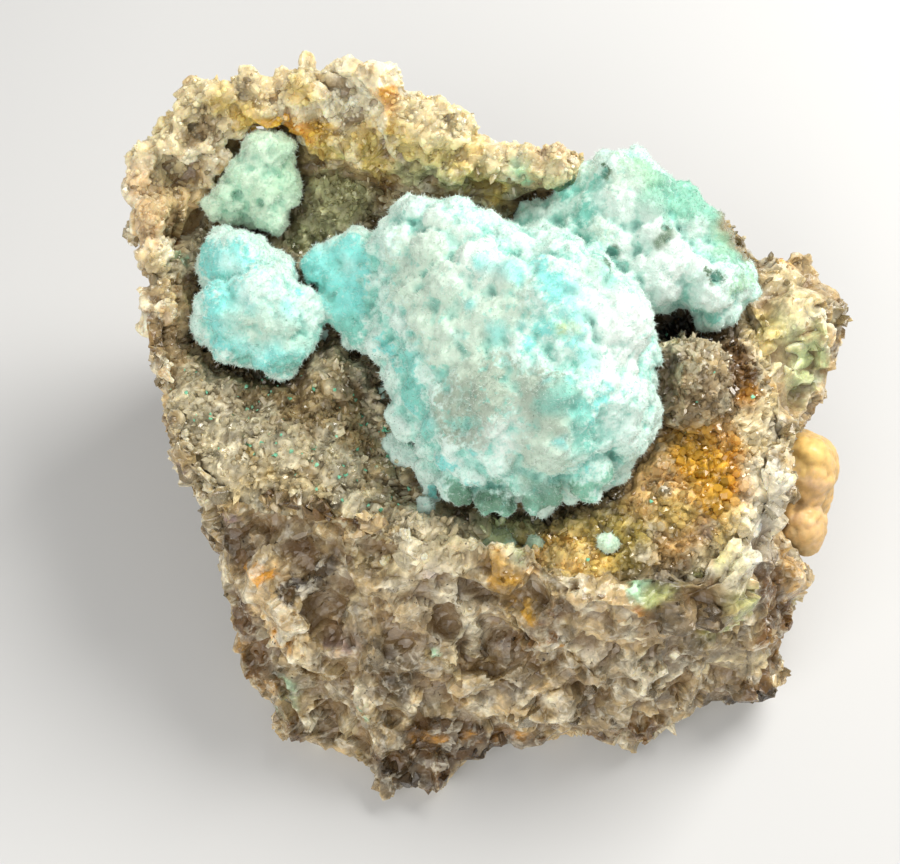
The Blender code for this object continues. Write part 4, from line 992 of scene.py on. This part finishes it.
# ---------------------------------------------------------------- pieces
def make_piece(name, points, faces, material, slot, nodes, smooth=False, **fields):
    """A mesh from corners in mm and triangles, with a value per corner for each field, which
    rides on the root body and stands for the named CAD nodes."""
    points = np.clip(points, box_low, box_high)
    mesh = bpy.data.meshes.new(name)
    mesh.vertices.add(len(points))
    mesh.vertices.foreach_set("co", (points * MM).astype(np.float32).ravel())
    mesh.loops.add(faces.size)
    mesh.loops.foreach_set("vertex_index", faces.astype(np.int32).ravel())
    mesh.polygons.add(len(faces))
    mesh.polygons.foreach_set("loop_start", np.arange(0, faces.size, 3, dtype=np.int32))
    mesh.polygons.foreach_set("use_smooth", np.full(len(faces), smooth))
    mesh.update(calc_edges=True)
    for field, values in fields.items():
        if values.ndim == 2:
            layer = mesh.attributes.new(field, "FLOAT_COLOR", "POINT")
            layer.data.foreach_set("color", values.astype(np.float32).ravel())
        else:
            layer = mesh.attributes.new(field, "FLOAT", "POINT")
            layer.data.foreach_set("value", values.astype(np.float32))
    mesh.materials.append(material)
    piece = bpy.data.objects.new(name, mesh)
    collection.objects.link(piece)
    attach(piece, "root")
    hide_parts(*nodes)
    print(f"{name}: {len(faces)} triangles")


def modified(points, faces, kind, settings, **fields):
    """The corners in mm and triangles after one modifier, and the fields as they end up."""
    mesh = bpy.data.meshes.new("shape")
    mesh.from_pydata((points * MM).tolist(), [], faces.tolist())
    for field, values in fields.items():
        layer = mesh.attributes.new(field, "FLOAT", "POINT")
        layer.data.foreach_set("value", values.astype(np.float32))
    obj = bpy.data.objects.new("shape", mesh)
    collection.objects.link(obj)
    modifier = obj.modifiers.new("shape", kind)
    for setting, value in settings.items():
        setattr(modifier, setting, value)
    graph = bpy.context.evaluated_depsgraph_get()
    made = bpy.data.meshes.new_from_object(obj.evaluated_get(graph))
    bpy.data.objects.remove(obj)
    points, faces = mesh_arrays(made)
    for field in fields:
        values = np.zeros(len(points), np.float32)
        made.attributes[field].data.foreach_get("value", values)
        fields[field] = values
    return points, faces, fields


def skin(points, faces, voxel, rounds=1):
    """One closed, even surface round everything given, smoothed a little."""
    settings = {"mode": "VOXEL", "voxel_size": voxel * MM}
    points, faces, _ = modified(points, faces, "REMESH", settings)
    return smoothed(points, faces, rounds), faces


def thinned(points, faces, count, **fields):
    """The same surface with about this many triangles, and its fields."""
    settings = {"ratio": min(1.0, count / len(faces)), "use_collapse_triangulate": True}
    return modified(points, faces, "DECIMATE", settings, **fields)


def loose_parts(count, faces):
    """A number for each corner, the same all over each loose part of a mesh."""
    part = np.arange(count)
    while True:
        low = part[faces].min(axis=1)
        new = part.copy()
        for side in range(3):
            np.minimum.at(new, faces[:, side], low)
        new = new[new]
        if (new == part).all():
            return part
        part = new


def only(points, faces, on, *fields):
    """The loose parts of a mesh that are marked, and their fields."""
    number = np.cumsum(on) - 1
    return (points[on], number[faces[on[faces[:, 0]]]], *(field[on] for field in fields))


def largest(points, faces, *fields):
    """The largest loose part of a mesh."""
    part = loose_parts(len(points), faces)
    return only(points, faces, part == np.bincount(part).argmax(), *fields)


def held(points, faces, hosts, *fields):
    """The loose parts of a mesh that cross a surface of the hosts: the rest would hang in the
    air."""
    part = loose_parts(len(points), faces)
    crossing = tree_of(points, faces).overlap(tree_of(*joined(hosts)))
    kept = np.zeros(len(points), bool)
    kept[part[faces[[number for number, _ in crossing], 0]]] = True
    return only(points, faces, kept[part], *fields)


def spread(points, faces, count, rng, wanted=None):
    """Random places on a surface: point, normal, triangle and the weights of its corners. Wanted
    gives each corner of the surface the share of places that it keeps."""
    area = double_areas(points, faces)
    if wanted is not None:
        area = area * wanted[faces].mean(axis=1)
    pick = rng.choice(len(faces), count, p=area / area.sum())
    u, v = rng.uniform(0, 1, (2, count))
    flip = u + v > 1
    u, v = np.where(flip, 1 - u, u), np.where(flip, 1 - v, v)
    weights = np.stack([1 - u - v, u, v], axis=1)
    place = (points[faces[pick]] * weights[:, :, None]).sum(axis=1)
    out = (corner_normals(points, faces)[faces[pick]] * weights[:, :, None]).sum(axis=1)
    return place, unit(out), pick, weights


def turned(directions, rng):
    """A turn for each direction that takes +Z to it, rolled at random: columns x, y and z."""
    z = unit(directions)
    other = np.where(np.abs(z[:, 2:]) < 0.9, (0.0, 0.0, 1.0), (1.0, 0.0, 0.0))
    x = unit(np.cross(other, z))
    y = np.cross(z, x)
    roll = rng.uniform(0, 2 * math.pi, len(z))[:, None]
    new_x = x * np.cos(roll) + y * np.sin(roll)
    new_y = y * np.cos(roll) - x * np.sin(roll)
    return np.stack([new_x, new_y, z], axis=2)


def copies(shapes, places, turns, sizes, rng):
    """One copy of one of the shapes at each place: corners, triangles and each corner's owner."""
    points, faces, owners, total = [], [], [], 0
    chosen = rng.integers(0, len(shapes), len(places))
    for number, (corners, triangles) in enumerate(shapes):
        own = np.flatnonzero(chosen == number)
        made = corners[None] * sizes[own][:, None]
        made = np.einsum("nij,nvj->nvi", turns[own], made) + places[own][:, None]
        points.append(made.reshape(-1, 3))
        offsets = np.arange(len(own))[:, None, None] * len(corners) + total
        faces.append((triangles[None] + offsets).reshape(-1, 3))
        owners.append(np.repeat(own, len(corners)))
        total += len(own) * len(corners)
    return np.concatenate(points), np.concatenate(faces), np.concatenate(owners)


def balls(shape, centres, radii, rng):
    """A ball of this shape at each centre."""
    turns = turned(rng.normal(size=(len(centres), 3)), rng)
    return copies([shape], centres, turns, radii[:, None] * np.ones(3), rng)[:2]


def domes(nodes, rows, proud, rng):
    """Balls set into the CAD model where the photo shows them at the rows' pixels, each with this
    share of its radius proud of it; only on the named nodes, if any are named."""
    tree = tree_of(*solid(*nodes)) if nodes else None
    centres, radii = [], []
    for place, out, radius in seen(rows):
        if tree and tree.find_nearest(place, TOUCHING)[3] is None:
            continue
        radii.append(radius / PIXELS_PER_MM)
        centres.append(np.array(place - out * radii[-1] * (1 - proud)))
    return balls(FINE_BALL, np.array(centres), np.array(radii), rng)


def shape_arrays(bm):
    bm.verts.index_update()
    points = np.array([v.co[:] for v in bm.verts])
    faces = np.array([[v.index for v in f.verts] for f in bm.faces])
    bm.free()
    return points, faces


def ball_shape(rounds):
    bm = bmesh.new()
    bmesh.ops.create_icosphere(bm, subdivisions=rounds, radius=1)
    return shape_arrays(bm)


def block_shapes(count, corners, rng):
    """Convex chips and blocks, about 1 in radius, each with this many corners or fewer."""
    shapes = []
    for _ in range(count):
        cloud = unit(rng.normal(size=(corners, 3)))
        cloud = np.sign(cloud) * np.abs(cloud) ** 0.7 * rng.uniform(0.72, 1.0, (corners, 1))
        cloud *= (1.0, rng.uniform(0.7, 1.0), rng.uniform(0.6, 0.95))
        bm = bmesh.new()
        for corner in cloud:
            bm.verts.new(corner)
        bmesh.ops.convex_hull(bm, input=bm.verts)
        inner = [v for v in bm.verts if not v.link_faces]
        bmesh.ops.delete(bm, geom=inner, context="VERTS")
        bmesh.ops.triangulate(bm, faces=bm.faces)
        shapes.append(shape_arrays(bm))
    return shapes


def crystal_shapes(count, rng):
    """Six-sided quartz crystals, 1 in radius and 1 long to the shoulder, open at the foot."""
    shapes = []
    for _ in range(count):
        around = np.arange(6) * math.pi / 3 + rng.normal(0, 0.09, 6)
        foot = np.stack([np.cos(around), np.sin(around), np.zeros(6)], axis=1)
        shoulder = foot * (0.93, 0.93, 0) + (0, 0, 1)
        shoulder[:, 2] += rng.uniform(-0.2, 0.2, 6)
        tip = np.array([[rng.normal(0, 0.15), rng.normal(0, 0.15), 1 + rng.uniform(0.35, 0.7)]])
        faces = []
        for i in range(6):
            j = (i + 1) % 6
            faces += [(i, j, 6 + j), (i, 6 + j, 6 + i), (6 + i, 6 + j, 12)]
        shapes.append((np.concatenate([foot, shoulder, tip]), np.array(faces)))
    return shapes


def needle_shapes():
    """One needle, 1 across and 1 long, pointed at the end."""
    points = np.array([(0.5, 0, 0), (-0.25, 0.433, 0), (-0.25, -0.433, 0), (0, 0, 1)])
    return [(points, np.array([(0, 1, 3), (1, 2, 3), (2, 0, 3)]))]


def sizes_of(count, low, high, rng, power=1.8):
    """Sizes from low to high, more of them small than large."""
    return low + (high - low) * rng.uniform(0, 1, count) ** power


BLOCKS = block_shapes(count=40, corners=12, rng=np.random.default_rng(1))
ROUND_BLOCKS = block_shapes(count=30, corners=16, rng=np.random.default_rng(2))
CRYSTALS = crystal_shapes(count=16, rng=np.random.default_rng(3))
NEEDLES = needle_shapes()
COARSE_BALL = ball_shape(rounds=2)
FINE_BALL = ball_shape(rounds=4)


def open_air(places, directions, start, room):
    """True where the CAD model leaves this much room in mm, from this far off the place."""
    free = np.ones(len(places), bool)
    starts = places + directions * start
    for number, (place, direction) in enumerate(zip(starts.tolist(), directions.tolist())):
        free[number] = cad_tree.ray_cast(place, direction, room)[0] is None
    return free


def make_rock():
    """The quartz block: a skin broken into chips, with hollows and swellings, and the grains on
    it."""
    rng = np.random.default_rng(SEED)
    points, faces = skin(*solid("matrix"), voxel=0.45)
    normals = corner_normals(points, faces)
    # Nothing moves at the base, and what lies under the crust and the growths hardly does.
    off_base = ease(points[:, 2], 0.3, 2.2)
    under = near_nodes(points, 1.6, ["pocket_druse", *GROWTHS])
    plain = near_pixels(points, PATCH_REACH, PLAIN_PIXELS)
    large, shade = in_parts(fracture, points, cell=4.0, tilt=0.26, depth=0.95)
    large *= 1 - 0.35 * ease(points[:, 1], 5, 20)
    small, fine_shade = in_parts(fracture, points, cell=1.5, tilt=0.24, depth=0.26)
    swell = ripple(points, size=6.5, seed=41) * 0.5 + ripple(points, size=2.4, seed=42) * 0.15
    move = large + raised(points, ROCK_FORMS, None) + (swell + small) * (1 - 0.8 * plain) - 0.4
    move = (move * (1 - under) + 0.15 * under) * off_base
    points = points + normals * move[:, None]
    broken = 1 - ease(points[:, 2], BROKEN_BELOW, WHOLE_ABOVE)
    fields = {"shade": 0.6 * shade + 0.4 * fine_shade, "broken": broken}
    points, faces, fields = thinned(points, faces, BLOCK_TRIANGLES, **fields)
    points, faces, *values = largest(points, faces, *fields.values())
    fields = dict(zip(fields, values))
    milky = quartz(
        "vein quartz", VEIN_COLOURS, roughness=0.2, soft=0.5, shade=(0.65, 1.15), crevice=0.6,
        grain=0.4, veins=0.6,
    )
    make_piece(
        "quartz_block", points, faces, milky, "vein_quartz", ["matrix"],
        stain=stained(points), relief=relief(points, faces, rounds=14, height=0.45), **fields,
    )
    make_grains(points, faces, rng)
    return points, faces


def make_grains(points, faces, rng):
    """Milky and clear grains all over the block, fewest where the photo shows plain faces."""
    wanted = ease(points[:, 2], 1.4, 3.4)
    wanted = wanted * (1 - 0.9 * near_pixels(points, PATCH_REACH, PLAIN_PIXELS))
    wanted *= 1 + 3 * near_nodes(points, 3.0, ["pocket_druse"])
    wanted *= 1 - 0.95 * near_pixels(points, PATCH_REACH, RIM_PIXELS)
    wanted *= 1 - 0.55 * on_front(points)
    for name, count, reach, shapes, clear in (
        ("quartz_grains_milky", 4600, (0.3, 1.5), ROUND_BLOCKS, 0.0),
        ("quartz_grains_clear", 7200, (0.35, 1.6), BLOCKS, 0.6),
    ):
        places, out, _, _ = spread(points, faces, count, rng, wanted)
        free = open_air(places, out, start=0.6, room=2.2)
        places, out = places[free], out[free]
        size = sizes_of(len(places), *reach, rng, power=2.6) * (1 + 0.35 * on_front(places))
        sizes = size[:, None] * rng.uniform(0.8, 1.1, (len(places), 3)) * (1, 1, 0.75)
        sunk = places - out * (size * rng.uniform(0.45, 0.8, len(size)))[:, None]
        turns = turned(out + rng.normal(0, 0.35, out.shape), rng)
        corners, triangles, owner = copies(shapes, sunk, turns, sizes, rng)
        corners, triangles, owner = held(corners, triangles, [(points, faces)], owner)
        material = quartz(
            name.replace("_", " "), VEIN_COLOURS, roughness=0.2, clear=clear,
            soft=0.0 if clear else 0.35, shade=(0.75, 1.2), grain=0.25,
        )
        make_piece(
            name, corners, triangles, material, "vein_quartz", ["matrix"],
            stain=stained(places)[owner], shade=rng.uniform(0, 1, len(places))[owner],
        )


def make_rim(points, faces):
    """The creamy rim: blocks of quartz grown into one another, and small crystals on them."""
    rng = np.random.default_rng(SEED + 1)
    normals = corner_normals(points, faces)
    rim = near_pixels(points, PATCH_REACH, RIM_PIXELS)
    wanted = rim * ease(normals[:, 2], -0.3, 0.4)
    places, out, _, _ = spread(points, faces, RIM_LUMPS, rng, wanted)
    free = near_nodes(places, 1.8, ["pocket_druse", *GROWTHS]) < 0.5
    places, out = places[free], out[free]
    size = sizes_of(len(places), 1.0, 2.8, rng, power=1.5)
    sizes = size[:, None] * rng.uniform(0.7, 1.1, (len(places), 3))
    direction = unit(out + (0, 0, 0.3) + rng.normal(0, 0.3, out.shape))
    sunk = places - direction * (size * 0.25 + 0.25)[:, None]
    lumps = copies(BLOCKS, sunk, turned(direction, rng), sizes, rng)[:2]
    blocks = [
        set_blocks(pixels, low, high, sunk, rng)
        for pixels, low, high, sunk in (
            (PLAIN_PIXELS, 2.0, 3.0, 0.62),
            (SEAM_PIXELS, 0.8, 1.5, 0.45),
            (TUFT_PIXELS, 0.7, 1.25, 0.25),
            (WHITE_BLOCK_PIXELS, 1.3, 1.7, 0.3),
        )
    ]
    corners, triangles = skin(*joined([lumps, *blocks]), voxel=0.28)
    corners, triangles = held(corners, triangles, [(points, faces), solid("pocket_druse")])
    chips, shade = in_parts(fracture, corners, cell=1.4, tilt=0.26, depth=0.18)
    chips *= 1 - 0.5 * near_pixels(corners, PATCH_REACH, PLAIN_PIXELS)
    corners = corners + corner_normals(corners, triangles) * chips[:, None]
    colours = (CREAM, WHITE, SAND)
    milky = quartz(
        "rim quartz", colours, roughness=0.26, soft=0.8, shade=(0.86, 1.12), mottle=(0.74, 1.14),
        crevice=0.35, grain=0.35, specks=False,
    )
    make_piece(
        "rim_blocks", corners, triangles, milky, "vein_quartz", ["matrix"],
        stain=stained(corners), shade=shade,
        relief=relief(corners, triangles, rounds=14, height=0.35),
    )
    above = ease(corner_normals(corners, triangles)[:, 2], -0.1, 0.4)
    above *= 1 - 0.95 * near_pixels(corners, PATCH_REACH, PLAIN_PIXELS)
    above *= (np.abs(corners - box_middle) < box_half - CRYSTAL_ROOM).all(axis=1)
    places, out, _, _ = spread(corners, triangles, RIM_CRYSTALS, rng, above)
    radius = sizes_of(len(places), 0.14, 0.45, rng)
    corners, triangles, owner = crystals(
        CRYSTALS, places, out, radius, rng, lengths=(0.6, 1.8), widths=(0.7, 1.1), lean=0.4,
        sunk=0.7,
    )
    glassy = quartz(
        "rim crystals", colours, roughness=0.15, soft=0.5, shade=(1.0, 1.25), mottle=(0.9, 1.12),
        specks=False, grain=0.1,
    )
    make_piece(
        "rim_crystals", corners, triangles, glassy, "vein_quartz", ["matrix"],
        stain=stained(places)[owner], shade=rng.uniform(0, 1, len(places))[owner],
    )


def crystals(shapes, places, out, radius, rng, lengths, widths, lean, sunk, cut=1.0):
    """Crystals at these places, which lean at random from the way out. The lengths and widths are
    ranges of a share of the radius, sunk is a share of the length, and cut shortens some."""
    length = radius * rng.uniform(*lengths, len(radius)) * cut
    direction = unit(out + rng.normal(0, lean, out.shape))
    sizes = np.stack([radius, radius * rng.uniform(*widths, len(radius)), length], axis=1)
    feet = places - direction * (sunk * length)[:, None]
    return copies(shapes, feet, turned(direction, rng), sizes, rng)


def set_blocks(pixels, low, high, sunk, rng):
    """Blocks from low to high mm in radius at the photo's pixels, sunk by this share of it."""
    places, facing = (np.array(part) for part in zip(*seen(pixels)))
    size = rng.uniform(low, high, len(places))
    sizes = size[:, None] * rng.uniform(0.8, 1.1, (len(places), 3))
    centres = places - facing * (sunk * size)[:, None]
    return copies(BLOCKS, centres, turned(facing, rng), sizes, rng)[:2]


def make_druse(rock_points, rock_faces):
    """The crust of small crystals in the pocket, and those on the walls round it."""
    rng = np.random.default_rng(SEED + 2)
    lump = domes(["pocket_druse"], DRUSE_DOMES, proud=0.5, rng=rng)
    points, faces = skin(*joined([solid("pocket_druse"), lump]), voxel=0.4)
    normals = corner_normals(points, faces)
    foot = near_nodes(points, 1.9, GROWTHS)
    lumps, _ = in_parts(knobs, points, size=2.0, height=0.9)
    chips, shade = in_parts(fracture, points, cell=0.9, tilt=0.4, depth=0.3)
    level = ease(normals[:, 2], 0.1, 0.7)
    move = 1.5 + (lumps - 1.1) * level + chips - 0.7 * foot * level
    points = points + normals * move[:, None]
    crust = quartz(
        "drusy crust", (FROST, DRAB, FROST), roughness=0.35, soft=0.3, crevice=0.4, specks=False,
        grain=0.5,
    )
    # painted shade darkens the crust round the growths' feet
    make_piece(
        "druse_crust", points, faces, crust, "drusy_quartz", ["pocket_druse"],
        stain=shaded_near_growths(stained(points), foot), shade=shade,
        relief=relief(points, faces, rounds=10, height=0.4),
    )
    # The walls: high up, not overhanging, and behind the pocket's front edge.
    rock_normals = corner_normals(rock_points, rock_faces)
    inner = ease(rock_points[:, 2], 28, 31) * ease(rock_normals[:, 2], 0.0, 0.3)
    inner *= ease(rock_points[:, 1], -19, -14)
    upper = ease(normals[:, 2], -0.2, 0.3)
    on_crust = spread(points, faces, CRUST_CRYSTALS, rng, upper)
    on_walls = spread(rock_points, rock_faces, WALL_CRYSTALS, rng, inner)
    places, out = (np.concatenate(pair) for pair in zip(on_crust[:2], on_walls[:2]))
    free = open_air(places, out, start=0.7, room=2.0)
    free &= near_pixels(places, 2.5, PLAIN_PIXELS) < 0.5
    places, out = places[free], out[free]
    gold = near_pixels(places, 7.0, GOLD_PIXELS)
    radius = sizes_of(len(places), 0.14, 0.42, rng) * (1 + 0.5 * gold)
    corners, triangles, owner = crystals(
        CRYSTALS + BLOCKS[:12], places, out, radius, rng, lengths=(1.0, 2.8), widths=(0.6, 1.0),
        lean=0.45, sunk=0.3, cut=1 - 0.5 * gold,
    )
    hosts = [(points, faces), (rock_points, rock_faces)]
    corners, triangles, owner = held(corners, triangles, hosts, owner)
    glassy = quartz(
        "druse crystals", (FROST, WHITE, DRAB), roughness=0.08, clear=0.5, shade=(0.8, 1.5),
        mottle=(0.8, 1.2), specks=False, grain=0.08,
    )
    # painted shade darkens the crystals round the growths' feet
    foot = near_nodes(places, 1.8, GROWTHS)
    make_piece(
        "druse_crystals", corners, triangles, glassy, "drusy_quartz", ["pocket_druse"],
        stain=shaded_near_growths(stained(places), foot)[owner], shade=rng.uniform(0, 1, len(places))[owner],
    )
    make_specks(points, faces, (corners, triangles), rng)


def shaded_near_growths(stain, foot):
    """The stains with dark painted shade over them, where foot is 1: the shade round the growths'
    feet.
    """
    cover = 0.8 * foot
    keep = stain[:, 3] * (1 - cover)
    total = np.maximum(keep + cover, 1e-9)
    blend = (cover / total)[:, None]
    colour = stain[:, :3] * (1 - blend) + np.array(DUSK_AND_SHADE) * blend
    return np.column_stack([colour, total])


def make_specks(points, faces, crystals, rng):
    """Tiny green grains strewn over the druse's crust and crystals."""
    wanted = near_pixels(points, 7.0, SPECK_PIXELS) + 0.04
    places, out, _, _ = spread(points, faces, GREEN_GRAINS, rng, wanted)
    free = open_air(places, out, start=0.7, room=2.0)
    places, out = places[free] + out[free] * 0.2, out[free]
    sizes = sizes_of(len(places), 0.13, 0.34, rng)[:, None] * np.ones(3)
    corners, triangles, owner = copies(BLOCKS, places, turned(out, rng), sizes, rng)
    corners, triangles, owner = held(corners, triangles, [(points, faces), crystals], owner)
    material = aurichalcite("green grains", BOTTLE_GREEN, LEAF_GREEN, MINT)
    make_piece(
        "green_grains", corners, triangles, material, "green_aurichalcite", ["pocket_druse"],
        stain=np.zeros((len(corners), 4)), shade=rng.uniform(0, 1, len(places))[owner],
        relief=np.full(len(corners), 0.6),
    )


def knobs_wanted(points, normals, fewer):
    """Where knobs stand: not underneath, and this share fewer where the photo shows it smooth."""
    return (1 - fewer * near_pixels(points, 3.2, SMOOTH_PIXELS)) * ease(normals[:, 2], -0.9, -0.4)


def knobby(node, depth, largest, sunk, rng):
    """A CAD node's core, this deep under its surface in mm, and the knobs that stand on it, up to
    the largest radius in mm and sunk by a share of their radius."""
    points, faces = skin(*solid(node), voxel=0.5, rounds=2)
    normals = corner_normals(points, faces)
    core = points + normals * (raised(points, CORE_FORMS, None) - depth)[:, None]
    area = 0.5 * double_areas(points, faces).sum()
    count = int(area / largest**2 * 0.75)
    places, out, _, _ = spread(core, faces, count, rng, knobs_wanted(points, normals, 0.85))
    radii = sizes_of(count, 0.35 * largest, largest, rng, power=1.4)
    centres = places - out * (radii * (sunk + rng.uniform(-0.2, 0.2, count)))[:, None]
    return joined([(core, faces), balls(COARSE_BALL, centres, radii, rng)])


def small_knobs(points, faces, rng):
    """Little balls crowded over a growth, fewest where the photo shows it smooth."""
    wanted = knobs_wanted(points, corner_normals(points, faces), 0.6)
    count = int(0.085 * len(faces))
    places, out, _, _ = spread(points, faces, count, rng, wanted)
    radii = sizes_of(count, 0.28, 0.65, rng, power=1.6)
    centres = places - out * (0.15 * radii)[:, None]
    return balls(COARSE_BALL, centres, radii, rng)


def make_growth(name, slot, voxel, colours, velvet, strokes, seed):
    """A growth of aurichalcite: knobs grown into one another, a velvet of this many short needles,
    and so many longer bright strokes."""
    cores = CORES[name]
    rng = np.random.default_rng(SEED + seed)
    parts = [knobby(node, *sizes, rng) for node, sizes in cores.items()]
    parts.append(domes(list(cores), DOMES, proud=-0.05, rng=rng))
    parts.append(domes([], EXTRA_DOMES[name], proud=0.35, rng=rng))
    points, faces = skin(*joined(parts), voxel=0.36)
    parts = [(points, faces), small_knobs(points, faces, rng)]
    points, faces = skin(*joined(parts), voxel, rounds=0)
    lift = ripple(points, size=0.35, seed=33) * 0.08 + raised(points, PITS, -1.0)
    points = points + corner_normals(points, faces) * lift[:, None]
    heights = relief(points, faces, rounds=22, height=0.42)
    make_piece(
        name, points, faces, aurichalcite(f"{name} skin", *colours), slot, list(cores), smooth=True,
        stain=stained(points, growth_stains), relief=heights,
        shade=ripple(points, size=0.8, seed=31) * 0.5 + 0.5,
    )
    normals = corner_normals(points, faces)
    wanted = (0.25 + heights) * ease(normals[:, 2], -0.75, -0.2)
    for kind, count, lengths, widths, lean, roughness, tip in (
        ("velvet", velvet, (0.18, 0.42), (0.04, 0.075), 0.55, 0.5, 0.8),
        ("needles", strokes, (0.30, 0.70), (0.06, 0.13), 1.1, 0.12, 1.0),
    ):
        places, out, face, weights = spread(points, faces, count, rng, wanted)
        direction = unit(out + rng.normal(0, lean, out.shape))
        low = np.maximum(0, 0.25 - (direction * out).sum(axis=1))
        direction = unit(direction + out * low[:, None])
        length = sizes_of(count, *lengths, rng, power=1.6)
        width = rng.uniform(*widths, count)
        turns = turned(direction, rng)
        sizes = np.stack([width, width, length], axis=1)
        corners, triangles, owner = copies(NEEDLES, places - out * 0.03, turns, sizes, rng)
        ends = (np.arange(len(corners)) % 4 == 3).astype(float)
        host = (heights[faces[face]] * weights).sum(axis=1)
        material = aurichalcite(f"{name} {kind}", *colours, roughness, tip)
        make_piece(
            f"{name}_{kind}", corners, triangles, material, slot, list(cores),
            stain=stained(places, growth_stains)[owner], relief=host[owner], tip=ends,
            shade=rng.uniform(0, 1, count)[owner],
        )


def make_brown_knobs():
    """The tan, iron-stained knobs at the right."""
    rng = np.random.default_rng(SEED + 7)
    points, faces = skin(*solid("brown_knobs"), voxel=0.5, rounds=3)
    core = points - corner_normals(points, faces) * 0.7
    lumps = domes(["brown_knobs"], KNOB_DOMES, proud=0.2, rng=rng)
    points, faces = skin(*joined([(core, faces), lumps]), voxel=0.3, rounds=3)
    normals = corner_normals(points, faces)
    middle, dome = in_parts(knobs, points, size=1.5, height=0.55)
    small, small_dome = in_parts(knobs, points, size=0.6, height=0.2)
    points = points + normals * (middle + small)[:, None]
    material = quartz(
        "brown crust", (TAN, SAND, PEACH), roughness=0.55, soft=0.4, shade=(0.85, 1.1),
        mottle=(0.85, 1.1), crevice=0.7, specks=False, grain=0.15,
    )
    # the shade field follows the knobs' domes: painted light on their tops and painted shade
    # between them
    make_piece(
        "brown_crust", points, faces, material, "iron_brown_crust", ["brown_knobs"], smooth=True,
        stain=stained(points), shade=0.6 * dome + 0.4 * small_dome,
        relief=relief(points, faces, rounds=30, height=0.6),
    )


def main():
    make_camera()
    make_world()
    make_light("key", KEY_AT, KEY_SIZE, KEY_POWER)
    make_light("fill", FILL_AT, FILL_SIZE, FILL_POWER)
    make_floor()
    points, faces = make_rock()
    make_rim(points, faces)
    make_druse(points, faces)
    blue = (TURQUOISE, PALE_BLUE, SNOW)
    green = (SEA_GREEN, PALE_MINT, MINT)
    for name, slot, voxel, colours, velvet, strokes, seed in (
        ("aurichalcite_ball", "aurichalcite", 0.27, blue, 38000, 9000, 4),
        ("left_lobes", "aurichalcite", 0.25, blue, 9000, 2200, 5),
        ("green_cluster", "green_aurichalcite", 0.25, green, 6500, 1200, 6),
    ):
        make_growth(name, slot, voxel, colours, velvet, strokes, seed)
    make_brown_knobs()


main()
